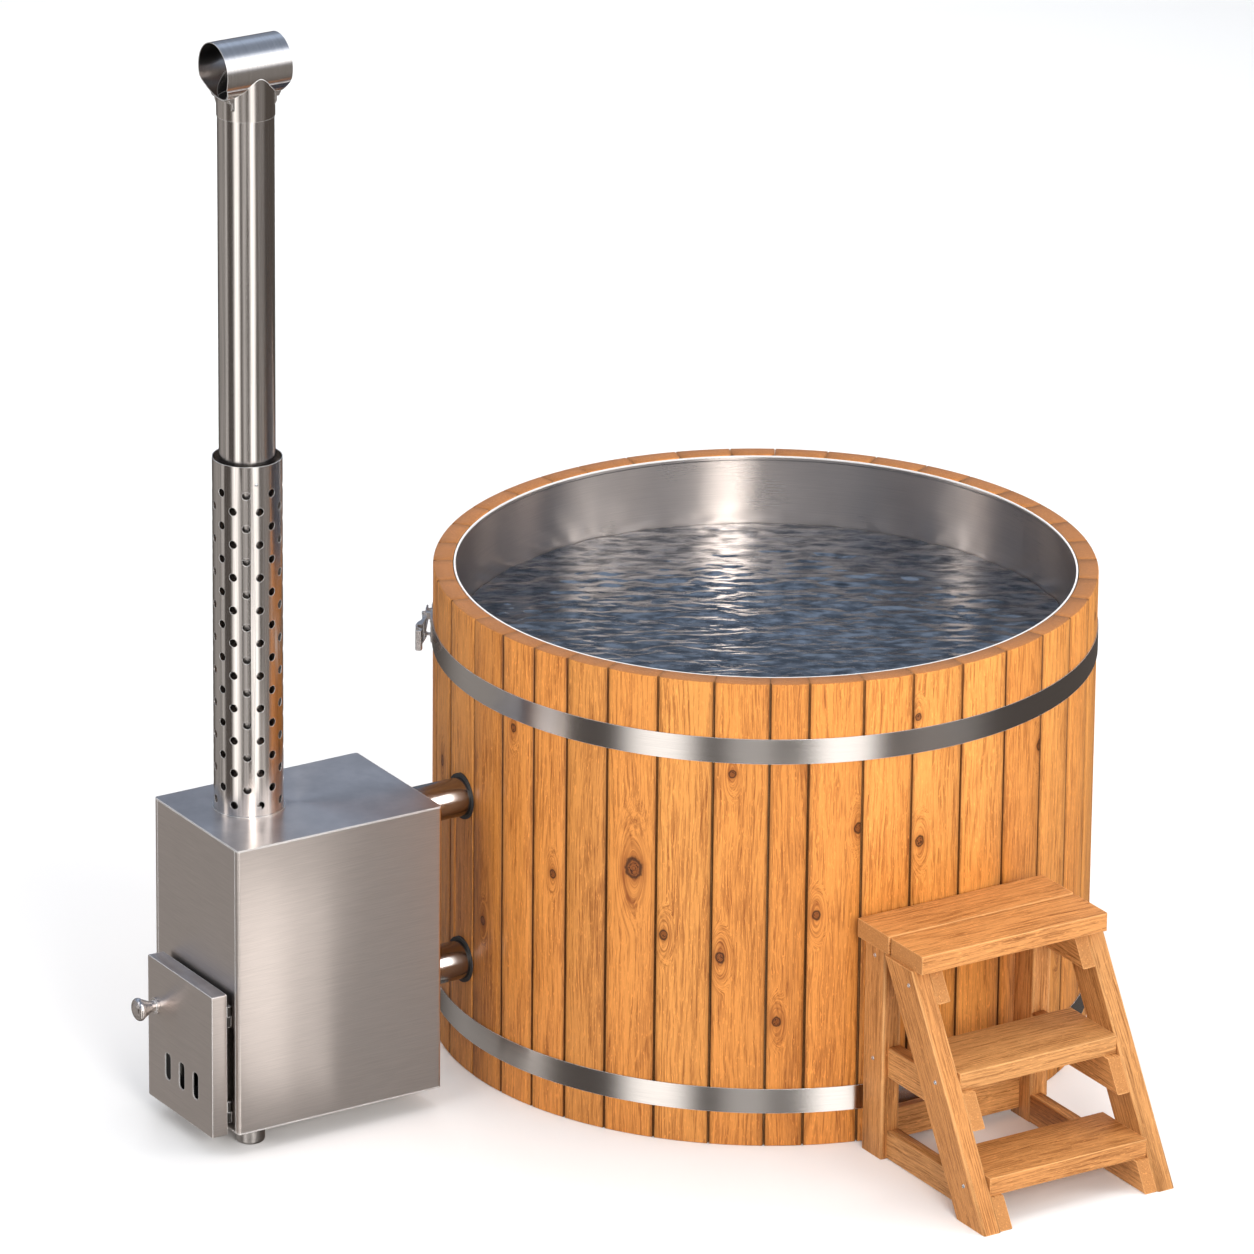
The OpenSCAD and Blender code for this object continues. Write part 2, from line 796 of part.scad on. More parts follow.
module pipe_flanges() {
  color(steel) for (z = [pipe_lower_z, pipe_upper_z]) intersection() {
    translate([-tub_r, pipe_y, z]) along_x() tube(ring_in + flange_w, ring_in, tub_r - pipe_end);
    cylinder(r = liner_in - rest_gap, h = tub_h, $fn = wall_fn);
  }
}

// Drain
module drain_tube() {
  color(brass) difference() {
    union() {
      translate([0, drain_seat_y - drain_nose, drain_z]) along_y()
        cylinder(r = thread_r, h = valve_y + outlet_sink - drain_seat_y + drain_nose);
      translate([0, tub_r + rest_gap, drain_z]) along_y() cylinder(r = drain_flange_r, h = drain_flange_h);
      translate([0, drain_seat_y - drain_nose, drain_z]) along_y() cylinder(r = drain_flange_r, h = drain_nose);
    }
    translate([0, liner_in / 2, drain_z]) along_y() cylinder(r = drain_bore_r, h = tub_r);
  }
}

module valve_body() {
  color(brass) difference() {
    union() {
      translate([0, valve_y + hex_l / 2, drain_z]) along_y() cylinder(r = valve_neck_r, h = valve_len - hex_l);
      translate([0, valve_mid, drain_z]) along_y() translate([0, 0, -ball_r - drain_flange_h])
        cylinder(r = valve_r, h = 2 * (ball_r + drain_flange_h));
      for (y = [valve_y, valve_y + valve_len - hex_l])
        translate([0, y, drain_z]) along_y() rotate([0, 0, 30]) cylinder(r = hex_r, h = hex_l, $fn = 6);
      translate([0, valve_mid, drain_z]) cylinder(r = bonnet_r, h = valve_r + bonnet_h);
    }
    for (y = [valve_y - cut, valve_y + valve_len - outlet_sink])
      translate([0, y, drain_z]) along_y() cylinder(r = thread_r, h = outlet_sink + cut);
    translate([0, valve_y, drain_z]) along_y() cylinder(r = drain_bore_r, h = valve_len);
    translate([0, valve_mid, drain_z]) sphere(r = ball_r + ball_gap);
    translate([0, valve_mid, drain_z]) cylinder(r = stem_r + fit, h = valve_r + bonnet_h + cut);
  }
}

// At rest the valve is shut: the ball's bore lies across the drain
module valve_ball() {
  color(steel) translate([0, valve_mid, drain_z]) difference() {
    sphere(r = ball_r);
    translate([-ball_r - cut, 0, 0]) along_x() cylinder(r = drain_bore_r, h = 2 * (ball_r + cut));
    translate([0, 0, ball_r - stem_r / 2]) cylinder(r = stem_r, h = ball_r);
  }
}

module valve_stem() {
  color(steel) translate([0, valve_mid, drain_z + ball_r - stem_r / 2])
    cylinder(r = stem_r, h = valve_r + bonnet_h + side_gap + valve_lever_t + stem_tip - ball_r + stem_r / 2);
}

module valve_lever() {
  top = drain_z + valve_r + bonnet_h + side_gap;
  color([0.55, 0.1, 0.08]) difference() {
    translate([0, valve_mid, top]) linear_extrude(height = valve_lever_t) {
      circle(r = valve_lever_w / 2 + valve_lever_t);
      translate([0, -valve_lever_w / 2]) square([valve_lever_len - valve_lever_w / 2, valve_lever_w]);
      translate([valve_lever_len - valve_lever_w / 2, 0]) circle(r = valve_lever_w / 2);
    }
    translate([0, valve_mid, top - cut]) cylinder(r = stem_r, h = valve_lever_t + 2 * cut);
  }
}

module drain_outlet() {
  from = valve_y + valve_len - outlet_sink;
  color(brass) difference() {
    union() {
      translate([0, from, drain_z]) along_y() cylinder(r = thread_r, h = outlet_sink + outlet_len);
      translate([0, from + outlet_sink + rest_gap, drain_z]) along_y()
        cylinder(r = valve_neck_r, h = outlet_len - outlet_thread - rest_gap, $fn = 6);
    }
    translate([0, from - cut, drain_z]) along_y()
      cylinder(r = drain_bore_r, h = outlet_sink + outlet_len + 2 * cut);
  }
}

// Stove
module stove_outline(inset) {
  translate([front_x + inset, stove_side + inset])
    round_rect(stove_l - 2 * inset, stove_w - 2 * inset, bend_r - inset);
}

// One bent sheet makes both sides and the back, and folds round onto the front
module stove_wrap() {
  color(steel) difference() {
    translate([0, 0, foot_h + sheet_t]) linear_extrude(height = stove_h - 2 * sheet_t) difference() {
      stove_outline(0);
      stove_outline(sheet_t);
      translate([front_x - cut, stove_side + fold_w]) square([2 * bend_r, stove_w - 2 * fold_w]);
    }
    for (z = [pipe_lower_z, pipe_upper_z])
      translate([-stove_back - bend_r, pipe_y, z]) along_x() cylinder(r = pipe_hole, h = 2 * bend_r);
  }
}

module door_opening() {
  translate([front_x - cut, door_y + open_near, door_z + open_low])
    cube([sheet_t + 2 * cut, open_w, open_h]);
}

module front_panel() {
  color(steel) difference() {
    translate([front_x, stove_side + fold_w + panel_gap, foot_h + sheet_t + rest_gap])
      cube([sheet_t, stove_w - 2 * (fold_w + panel_gap), stove_h - 2 * (sheet_t + rest_gap)]);
    door_opening();
  }
}

module stove_lid(z) {
  translate([0, 0, z]) linear_extrude(height = sheet_t) stove_outline(0);
}

// The top plate has a short edge turned down inside the sheets, and a round hole for the flue
module top_plate() {
  color(steel) difference() {
    union() {
      stove_lid(stove_top - sheet_t);
      translate([0, 0, stove_top - sheet_t - lip_h]) linear_extrude(height = lip_h + sheet_t / 2)
        difference() {
          stove_outline(sheet_t + panel_gap);
          stove_outline(2 * sheet_t + panel_gap);
        }
    }
    translate([flue_x, flue_mid, stove_top - 2 * lip_h])
      cylinder(r = flue_in - flue_t + rest_gap, h = 3 * lip_h);
  }
}

module base_plate() {
  color(steel) stove_lid(foot_h);
}

// The firebox is a tank within the water, open to the door and to the flue
module firebox() {
  low = stove_y - fire_w / 2;
  inner_r = flue_in - 2 * flue_t;
  color(steel_dark) difference() {
    union() {
      translate([fire_front + rest_gap, low, fire_z]) cube([fire_x - fire_front - rest_gap, fire_w, fire_h]);
      translate([flue_x, flue_mid, fire_z + fire_h - cut])
        cylinder(r = flue_in - flue_t, h = stove_top + riser_h - fire_z - fire_h + cut);
    }
    translate([fire_front - cut, low + fire_t, fire_z + fire_t])
      cube([fire_x - fire_front - fire_t + cut, fire_w - 2 * fire_t, fire_h - 2 * fire_t]);
    translate([flue_x, flue_mid, fire_z + fire_h - 2 * fire_t]) cylinder(r = inner_r, h = stove_h);
  }
  // Ledges that carry the grate
  color(steel_dark) for (y = [low + fire_t - cut, low + fire_w - fire_t - ledge])
    translate([fire_front + 2 * ledge, y, fire_z + grate_rise - ledge])
      cube([fire_x - fire_front - 4 * ledge, ledge + cut, ledge]);
}

module grate() {
  low = stove_y - fire_w / 2 + fire_t + grate_gap;
  l = fire_x - fire_front - 4 * ledge;
  w = fire_w - 2 * (fire_t + grate_gap);
  step = grate_slot + grate_bar;
  count = floor((l - 2 * grate_edge) / step);
  color(steel_dark) translate([fire_front + 2 * ledge, low, fire_z + grate_rise]) difference() {
    cube([l, w, grate_t]);
    for (i = [0 : count - 1]) translate([grate_edge + i * step, grate_edge, -cut])
      cube([grate_slot, w - 2 * grate_edge, grate_t + 2 * cut]);
  }
}

// Two feet stand under the front and one under the middle of the back
module stove_feet() {
  color(steel_dark) for (place = [[front_x + foot_inset, stove_side + foot_inset],
      [front_x + foot_inset, stove_side + stove_w - foot_inset], [-stove_back - foot_inset, stove_y]])
    translate([place[0], place[1], 0]) rotate_extrude() {
      square([foot_r - foot_round, foot_h]);
      translate([0, foot_round]) square([foot_r, foot_h - foot_round]);
      translate([foot_r - foot_round, foot_round]) circle(r = foot_round);
    }
}

// Door hinges lie in the gap between the stove and the door
module hinge_leaf(z) {
  difference() {
    union() {
      translate([hinge_x, hinge_y, z]) cylinder(r = knuckle_r, h = knuckle_h);
      translate([front_x - leaf_t - rest_gap, hinge_y - leaf_t, z]) cube([leaf_t, leaf_w, knuckle_h]);
    }
    translate([hinge_x, hinge_y, z - cut]) cylinder(r = hinge_pin_r, h = knuckle_h + 2 * cut);
  }
}

module hinge_leaves() {
  color(steel_dark) for (s = hinge_shares) hinge_leaf(door_z + s * door_h - knuckle_h);
}

module hinge_pins() {
  color(steel) for (s = hinge_shares) translate([hinge_x, hinge_y, door_z + s * door_h - knuckle_h])
    cylinder(r = hinge_pin_r, h = 2 * knuckle_h);
}

module door_catch() {
  lip = front_x - catch_run - catch_t;
  y = knob_y + tongue_l - catch_lip / 2;
  color(steel_dark) {
    translate([front_x - catch_t - rest_gap, y, knob_z - catch_h / 2])
      cube([catch_t, catch_lip + catch_t, catch_h]);
    translate([lip - catch_t, y + catch_lip - catch_lip / 4, knob_z - catch_h / 2])
      cube([front_x - rest_gap - lip + catch_t - sheet_t / 2, catch_t, catch_h]);
    translate([lip - catch_t, y - catch_lip / 8, knob_z - catch_h / 2])
      cube([catch_t, catch_lip - catch_t / 2, catch_h]);
  }
}

module slot_cut(l) {
  rotate([90, 0, 90]) linear_extrude(height = l) translate([-slot_w / 2, -slot_h / 2])
    round_rect(slot_w, slot_h, slot_w / 2 - slot_w / 10);
}

// The door's skin is a pan with its edges folded back and turned in behind
module door_skin() {
  slot_mid = door_y + door_w / 2 - slot_w / 4;
  color(steel) difference() {
    translate([door_face, door_y, door_z]) rotate([90, 0, 90]) linear_extrude(height = door_t)
      round_rect(door_w, door_h, door_edge);
    translate([door_face + door_edge, door_y + door_edge, door_z + door_edge])
      cube([door_t - 2 * door_edge, door_w - 2 * door_edge, door_h - 2 * door_edge]);
    translate([door_face + door_edge, door_y + door_fold, door_z + door_fold])
      cube([door_t, door_w - 2 * door_fold, door_h - 2 * door_fold]);
    for (i = [-1 : 1]) translate([door_face - cut, slot_mid + i * slot_pitch, door_z + slot_rise])
      slot_cut(door_edge + 2 * cut);
    translate([door_face - cut, knob_y, knob_z]) along_x()
      cylinder(r = spindle_r + fit, h = door_edge + 2 * cut);
  }
}

// A plate inside the door keeps the heat off the skin and carries the seal
module door_plate() {
  near = door_y + door_fold + rest_gap;
  color(steel_dark) difference() {
    translate([door_back - door_edge, near, door_z + door_fold + rest_gap])
      cube([door_edge, open_near + open_w + 2 * seal_w + seal_out - door_fold,
        door_h - 2 * (door_fold + rest_gap)]);
    for (i = [-1 : 1]) translate([door_back - door_edge - cut,
        door_y + door_w / 2 - slot_w / 4 + i * slot_pitch, door_z + slot_rise])
      slot_cut(door_edge + 2 * cut);
  }
}

module door_seal() {
  grow = seal_out + seal_w;
  color([0.75, 0.72, 0.66]) translate([door_back, door_y + open_near, door_z + open_low]) difference() {
    translate([0, -grow, -grow]) cube([door_gap - rest_gap, open_w + 2 * grow, open_h + 2 * grow]);
    translate([-cut, -seal_out, -seal_out])
      cube([door_gap + 2 * cut, open_w + 2 * seal_out, open_h + 2 * seal_out]);
  }
}

module door_knuckles() {
  color(steel_dark) for (s = hinge_shares) {
    z = door_z + s * door_h + knuckle_gap;
    difference() {
      union() {
        translate([hinge_x, hinge_y, z]) cylinder(r = knuckle_r, h = knuckle_h);
        translate([door_back + rest_gap, hinge_y - leaf_t, z]) cube([leaf_t, leaf_w / 2, knuckle_h]);
      }
      translate([hinge_x, hinge_y, z - cut]) cylinder(r = hinge_pin_r + fit, h = knuckle_h + 2 * cut);
    }
  }
}

// The knob's rounded head widens from a waisted stem with a collar at the door
module door_knob() {
  color(steel) translate([door_face, knob_y, knob_z]) rotate([0, -90, 0]) rotate_extrude() difference() {
    union() {
      translate([0, side_gap]) square([collar_r, collar_h - side_gap]);
      translate([0, collar_h - side_gap]) square([waist_r + collar_h / 4, collar_h / 4]);
      translate([0, side_gap]) square([waist_r, waist_out]);
      translate([knob_r - knob_round, knob_out]) circle(r = knob_round);
      polygon([
        [0, side_gap], [waist_r, waist_out], [knob_r, knob_out], [knob_r - knob_round, knob_out + knob_round],
        [knob_r / 2, knob_out + knob_round + knob_dome], [0, knob_out + knob_round + knob_dome]
      ]);
    }
    translate([-knob_r, 0]) square([knob_r, 2 * knob_out]);
    square([spindle_r, collar_h]);
  }
}

// The spindle carries a tongue that points up when the door is free and turns in behind the catch
module door_tongue() {
  back = front_x - catch_run + catch_t;
  color(steel_dark) {
    translate([door_face - collar_h, knob_y, knob_z]) along_x()
      cylinder(r = spindle_r, h = back - door_face + collar_h);
    translate([back - tongue_t - side_gap, knob_y - tongue_w / 2, knob_z - tongue_w / 2])
      cube([tongue_t, tongue_w, tongue_l + tongue_w / 2]);
  }
}

// Chimney
module flue_collar() {
  color(steel) translate([flue_x, flue_mid, stove_top]) difference() {
    cylinder(r = guard_r + collar_w, h = collar_lift);
    translate([0, 0, -cut]) cylinder(r = flue_in - flue_t + rest_gap, h = collar_lift + 2 * cut);
    translate([0, 0, collar_lift - guard_lift / 2]) tube(guard_r + rest_gap, guard_in - rest_gap, collar_lift);
  }
}

module flue_lower() {
  color(steel) translate([flue_x, flue_mid, stove_top + collar_lift]) tube(flue_r, flue_in, flue_split);
}

// The upper flue narrows to slip into the lower one
module flue_upper() {
  low = stove_top + collar_lift + flue_split;
  color(steel) translate([flue_x, flue_mid, 0]) rotate_extrude() polygon([
    [flue_in - flue_t - rest_gap, low - flue_socket], [flue_in - rest_gap, low - flue_socket],
    [flue_in - rest_gap, low], [flue_r, low + flue_t], [flue_r, flue_top],
    [flue_in, flue_top], [flue_in, low + flue_t], [flue_in - flue_t - rest_gap, low]
  ]);
}

// The guard is a thin tube with staggered columns of round holes
module guard() {
  color(steel) translate([flue_x, flue_mid, stove_top + collar_lift - guard_lift / 2 + rest_gap]) difference() {
    tube(guard_r, guard_in, guard_h);
    for (c = [0 : hole_columns - 1], k = [0 : hole_rows - 1])
      rotate([0, 0, spacer_turn + (c + 0.25) * 360 / hole_columns])
        translate([guard_in - cut, 0, guard_first + (k + (c % 2) / 2) * hole_pitch])
          along_x() cylinder(r = hole_r, h = guard_t + 2 * cut, $fn = 24);
  }
}

module guard_spacers() {
  base = stove_top + collar_lift;
  rows = [base + guard_h - spacer_drop, base + spacer_h / 2];
  color(steel_dark) translate([flue_x, flue_mid, 0]) for (z = rows, i = [0 : spacer_count - 1])
    rotate([0, 0, spacer_turn + i * 360 / spacer_count])
      rotate([0, 0, -arc_deg(spacer_w / 2, flue_r)]) rotate_extrude(angle = arc_deg(spacer_w, flue_r))
        translate([flue_r + rest_gap, z - spacer_h / 2])
          square([guard_in - flue_r - 2 * rest_gap, spacer_h]);
}

// The neck slips over the flue and spreads into a saddle under the cowl
module cowl_neck() {
  out = flue_r + rest_gap + neck_t;
  color(steel) translate([flue_x, flue_mid, 0]) difference() {
    union() {
      translate([0, 0, flue_top - neck_lap]) cylinder(r = out, h = cowl_z - flue_top + neck_lap);
      difference() {
        cowl_saddle(out);
        cowl_corners();
      }
    }
    translate([0, 0, flue_top - neck_lap - cut]) cylinder(r = flue_r + rest_gap, h = neck_lap + cut);
    translate([0, 0, flue_top - cut]) cylinder(r = flue_in, h = 2 * cowl_r);
    translate([-cowl_l, 0, cowl_z]) along_x() cylinder(r = cowl_r + rest_gap, h = 2 * cowl_l);
  }
}

module cowl_saddle(out) {
  wide = cowl_r * flare_share;
  intersection() {
    translate([0, 0, cowl_z - cowl_r - neck_lap / 2]) cylinder(r1 = out, r2 = cowl_l / 2, h = neck_lap);
    translate([-cowl_l, -wide, 0]) cube([2 * cowl_l, 2 * wide, cowl_z - saddle_drop]);
  }
  intersection() {
    translate([-cowl_l / 2, 0, cowl_z]) along_x() cylinder(r = cowl_r + rest_gap + saddle_t, h = cowl_l);
    translate([-cowl_l / 2, -cowl_r, cowl_z - 2 * cowl_r]) cube([cowl_l, 2 * cowl_r, 2 * cowl_r - saddle_drop]);
  }
}

// The lower corner at each end of the cowl is cut off on a slant
module cowl_corners() {
  run = cowl_l * cowl_cut_run_share;
  rise = cowl_r * cowl_cut_rise_share;
  for (side = [0, 1]) mirror([side, 0, 0]) translate([0, 2 * cowl_r, 0]) rotate([90, 0, 0])
    linear_extrude(height = 4 * cowl_r) polygon([
      [cowl_l / 2 - run / 2, cowl_z - 2 * cowl_r], [cowl_l / 2 - run / 2, cowl_z - cowl_r],
      [cowl_l / 2 - run / 3, cowl_z - cowl_r], [cowl_l / 2 + cut, cowl_z - cowl_r + rise],
      [cowl_l, cowl_z - cowl_r + rise], [cowl_l, cowl_z - 2 * cowl_r]
    ]);
}

module cowl() {
  color(steel) translate([flue_x, flue_mid, 0]) difference() {
    translate([-cowl_l / 2, 0, cowl_z]) along_x() tube(cowl_r, cowl_r - cowl_t, cowl_l);
    translate([0, 0, cowl_z - 2 * cowl_r]) cylinder(r = flue_in, h = 2 * cowl_r);
    cowl_corners();
  }
}

// Steps
module top_tread() {
  d = (top_depth - top_gap) / 2;
  color(wood) for (i = [0, 1])
    translate([steps_x - top_half, steps_back - top_depth + i * (d + top_gap), top_z - tread_t])
      board(2 * top_half, d, tread_t);
}

module step_tread(z, depth, nose) {
  color(wood) translate([steps_x - tread_half, stringer_face(z) - nose, z - tread_t])
    board(2 * tread_half, depth, tread_t);
}

module middle_tread() { step_tread(middle_z, middle_depth, middle_nose); }
module bottom_tread() { step_tread(bottom_z, bottom_depth, bottom_nose); }

// Cuts away what stands in front of a slope that follows the stringers
module front_slope(back) {
  translate([0, floor_nose_y + back, 0]) rotate([-stringer_lean, 0, 0])
    translate([-steps_w, -steps_w, -steps_w]) cube([2 * steps_w, steps_w, 3 * steps_w]);
}

module step_stringers() {
  square_depth = stringer_depth * cos(stringer_lean);
  color(wood) for (side = [0, 1]) translate([steps_x, 0, 0]) mirror([side, 0, 0]) intersection() {
    translate([stringer_in, floor_nose_y, 0]) rotate([-stringer_lean, 0, 0]) translate([0, 0, -stringer_depth])
      linear_extrude(height = 2 * stringer_top) round_rect(stringer_t, square_depth, wood_r);
    translate([0, floor_nose_y - cut, 0])
      cube([steps_w, stringer_depth + stringer_run + 2 * cut, stringer_top]);
  }
}

module step_posts() {
  color(wood) for (side = [0, 1]) translate([steps_x, 0, 0]) mirror([side, 0, 0]) difference() {
    translate([rail_in, post_front, 0]) linear_extrude(height = stringer_top)
      round_rect(post_t, post_depth, wood_r);
    for (i = [0 : 2]) tenon(i, rest_gap);
  }
}

// The tongue at a rail's rear end, which a screw pins in its post
module tenon(i, grow) {
  high = rail_top(i) - rail_low(i);
  h = high * tenon_h_share;
  translate([rail_in + (rail_t - tenon_t) / 2 - grow, post_front - grow, rail_low(i) + (high - h) / 2 - grow])
    cube([tenon_t + 2 * grow, tenon_l + 2 * grow, h + 2 * grow]);
}

module step_rails() {
  color(wood) for (side = [0, 1], i = [0 : 2]) translate([steps_x, 0, 0]) mirror([side, 0, 0]) {
    tenon(i, 0);
    difference() {
      translate([rail_in, post_front, rail_low(i)]) rotate([90, 0, 0])
        linear_extrude(height = post_front - floor_nose_y)
          round_rect(rail_t, rail_top(i) - rail_low(i), wood_r / 2);
      front_slope(cleat_back);
    }
  }
}

module rear_rail() {
  color(wood) translate([steps_x - rail_in, steps_back - post_depth / 2, rear_rail_z])
    board(2 * rail_in, rear_rail_t, rail_h);
}

module screw_head() {
  along_x() rotate([0, 180, 0]) difference() {
    cylinder(r1 = screw_r, r2 = screw_r * 0.8, h = screw_h);
    translate([0, 0, screw_h / 2]) cylinder(r = screw_r / 2, h = screw_h, $fn = 6);
  }
}

module step_screws() {
  color(steel) for (side = [0, 1]) translate([steps_x, 0, 0]) mirror([side, 0, 0]) {
    for (i = [0, 1]) translate([post_out, post_front + post_depth / 2, (rail_top(i) + rail_low(i)) / 2])
      mirror([1, 0, 0]) screw_head();
    for (z = [rail_top(0) - rail_h / 2, middle_z - tread_t / 2, bottom_z - tread_t / 2])
      translate([steps_w / 2, stringer_face(z) + screw_in, z]) mirror([1, 0, 0]) screw_head();
  }
}

staves();
floor_boards();
bearers();
liner();
bench_seat();
bench_legs();
upper_hoop();
lower_hoop();
hoop_rivets();
latch_bases();
latch_keepers();
lever_pins();
upper_lever();
lower_lever();
upper_bail();
lower_bail();
upper_bail_pin();
lower_bail_pin();
upper_pipe();
lower_pipe();
pipe_rings();
pipe_flanges();
drain_tube();
valve_body();
valve_ball();
valve_stem();
valve_lever();
drain_outlet();
stove_wrap();
front_panel();
top_plate();
base_plate();
firebox();
grate();
stove_feet();
hinge_leaves();
hinge_pins();
door_catch();
door_skin();
door_plate();
door_seal();
door_knuckles();
door_knob();
door_tongue();
flue_collar();
flue_lower();
flue_upper();
guard();
guard_spacers();
cowl_neck();
cowl();
top_tread();
middle_tread();
bottom_tread();
step_stringers();
step_posts();
step_rails();
rear_rail();
step_screws();
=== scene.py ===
import math
import random

import bmesh
import bpy
import numpy as np
from mathutils import Matrix, Vector


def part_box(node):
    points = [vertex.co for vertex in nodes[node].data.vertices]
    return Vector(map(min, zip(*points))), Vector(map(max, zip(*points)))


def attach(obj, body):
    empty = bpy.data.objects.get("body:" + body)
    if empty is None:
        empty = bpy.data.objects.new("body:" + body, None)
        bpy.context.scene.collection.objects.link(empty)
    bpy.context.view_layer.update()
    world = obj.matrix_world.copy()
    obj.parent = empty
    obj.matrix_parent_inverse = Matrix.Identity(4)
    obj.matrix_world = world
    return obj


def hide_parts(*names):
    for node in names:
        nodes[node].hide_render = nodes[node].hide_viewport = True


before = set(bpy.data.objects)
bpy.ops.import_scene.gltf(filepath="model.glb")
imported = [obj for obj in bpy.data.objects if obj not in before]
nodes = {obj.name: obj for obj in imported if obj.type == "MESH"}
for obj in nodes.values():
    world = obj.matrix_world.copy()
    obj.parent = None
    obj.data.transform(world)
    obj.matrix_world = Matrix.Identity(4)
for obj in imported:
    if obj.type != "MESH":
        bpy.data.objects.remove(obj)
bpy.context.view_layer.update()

print("frame loaded:", len(nodes), "parts")


def addObject(name, data):
    thing = bpy.data.objects.new(name, data)
    bpy.context.scene.collection.objects.link(thing)
    return thing


# camera at the photograph's standpoint
cameraSet = {
    "place": (-12.2138, -18.8161, 9.7075),
    "turn": 32.1397,  # degrees from +Y towards +X
    "dip": 21.2022,
    "roll": 0.594,
    "lens": 286.6,
    "sensor": 36.0,
    "farthest": 200.0,
}


def makeCamera():
    turn, dip, roll = (math.radians(cameraSet[k]) for k in ("turn", "dip", "roll"))
    ahead = Vector((math.sin(turn) * math.cos(dip), math.cos(turn) * math.cos(dip), -math.sin(dip)))
    right = Vector((math.cos(turn), -math.sin(turn), 0))
    up = right.cross(ahead)
    right, up = right * math.cos(roll) + up * math.sin(roll), up * math.cos(roll) - right * math.sin(roll)
    data = bpy.data.cameras.new("camera")
    data.lens = cameraSet["lens"]
    data.sensor_width = cameraSet["sensor"]
    data.clip_end = cameraSet["farthest"]
    camera = addObject("camera", data)
    axes = Matrix((right, up, -ahead)).transposed().to_4x4()
    camera.matrix_world = Matrix.Translation(cameraSet["place"]) @ axes
    bpy.context.scene.camera = camera


makeCamera()


# node helpers
def feed(tree, socket, value):
    # Links the value where it is another node's socket, and otherwise sets it.
    if isinstance(value, bpy.types.NodeSocket):
        tree.links.new(value, socket)
    else:
        socket.default_value = value


def put(tree, kind, inputs=None, **settings):
    # Adds a node with its settings and feeds its inputs.
    node = tree.nodes.new(kind)
    for name, value in settings.items():
        setattr(node, name, value)
    for name, value in (inputs or {}).items():
        feed(tree, node.inputs[name], value)
    return node


def maths(tree, operation, a, b=0.0, c=0.0, clamp=False):
    node = put(tree, "ShaderNodeMath", {0: a, 1: b, 2: c}, operation=operation, use_clamp=clamp)
    return node.outputs[0]


def times(tree, a, b):
    return maths(tree, "MULTIPLY", a, b)


def plus(tree, a, b, clamp=False):
    return maths(tree, "ADD", a, b, clamp=clamp)


def minus(tree, a, b):
    return maths(tree, "SUBTRACT", a, b)


def square(tree, a):
    return maths(tree, "POWER", a, 2.0)


def swing(tree, value, middle, share):
    # how far the value is from its middle, times its share
    return times(tree, minus(tree, value, middle), share)


def fraction(tree, value, turns):
    return maths(tree, "FRACT", times(tree, value, turns))


def vector(tree, operation, a, b=(0, 0, 0)):
    node = put(tree, "ShaderNodeVectorMath", {0: a, 1: b}, operation=operation)
    return node.outputs["Value" if operation == "DOT_PRODUCT" else "Vector"]


def scaled(tree, a, by):
    return put(tree, "ShaderNodeVectorMath", {0: a, "Scale": by}, operation="SCALE").outputs["Vector"]


def apart(tree, whole):
    return put(tree, "ShaderNodeSeparateXYZ", {"Vector": whole}).outputs


def together(tree, x=0.0, y=0.0, z=0.0):
    return put(tree, "ShaderNodeCombineXYZ", {"X": x, "Y": y, "Z": z}).outputs[0]


def blendColor(tree, amount, a, b, mode="MIX"):
    node = put(tree, "ShaderNodeMix", {0: amount, 6: a, 7: b}, data_type="RGBA", blend_type=mode)
    return node.outputs[2]


def blendNumber(tree, amount, a, b):
    return put(tree, "ShaderNodeMix", {0: amount, 2: a, 3: b}).outputs[0]


def rising(tree, value, start, end, low=0.0, high=1.0):
    inputs = {"Value": value, "From Min": start, "From Max": end, "To Min": low, "To Max": high}
    return put(tree, "ShaderNodeMapRange", inputs, interpolation_type="SMOOTHSTEP").outputs["Result"]


def falling(tree, value, start, end):
    return rising(tree, value, start, end, 1.0, 0.0)


def noise(tree, place, scale, detail=2.0, rough=0.5, warp=0.0):
    inputs = {"Vector": place, "Scale": scale, "Detail": detail, "Roughness": rough, "Distortion": warp}
    return put(tree, "ShaderNodeTexNoise", inputs).outputs["Fac"]


def solid(color):
    return (*color, 1.0)


def makeTree(name, kind, inputs, outputs):
    # A node tree with named sockets: inputs are name, type and start value, outputs name and type.
    tree = bpy.data.node_groups.new(name, kind)
    for label, socketKind, start in inputs:
        socket = tree.interface.new_socket(label, in_out="INPUT", socket_type="NodeSocket" + socketKind)
        if start is not None:
            socket.default_value = start
    for label, socketKind in outputs:
        tree.interface.new_socket(label, in_out="OUTPUT", socket_type="NodeSocket" + socketKind)
    return tree, tree.nodes.new("NodeGroupInput").outputs, tree.nodes.new("NodeGroupOutput").inputs


def useGroup(tree, group, inputs):
    return put(tree, "ShaderNodeGroup", inputs, node_tree=group).outputs


def makeMaterial(name):
    material = bpy.data.materials.new(name)
    material.use_nodes = True
    shader = material.node_tree.nodes["Principled BSDF"]
    return material, material.node_tree, shader.inputs


def setShader(tree, shader, values):
    for name, value in values.items():
        feed(tree, shader[name], value)


def objectPlace(tree):
    return put(tree, "ShaderNodeTexCoord").outputs["Object"]


def addBump(tree, shader, height, strength, depth):
    bump = put(tree, "ShaderNodeBump", {"Height": height, "Strength": strength, "Distance": depth})
    tree.links.new(bump.outputs["Normal"], shader["Normal"])
    return bump


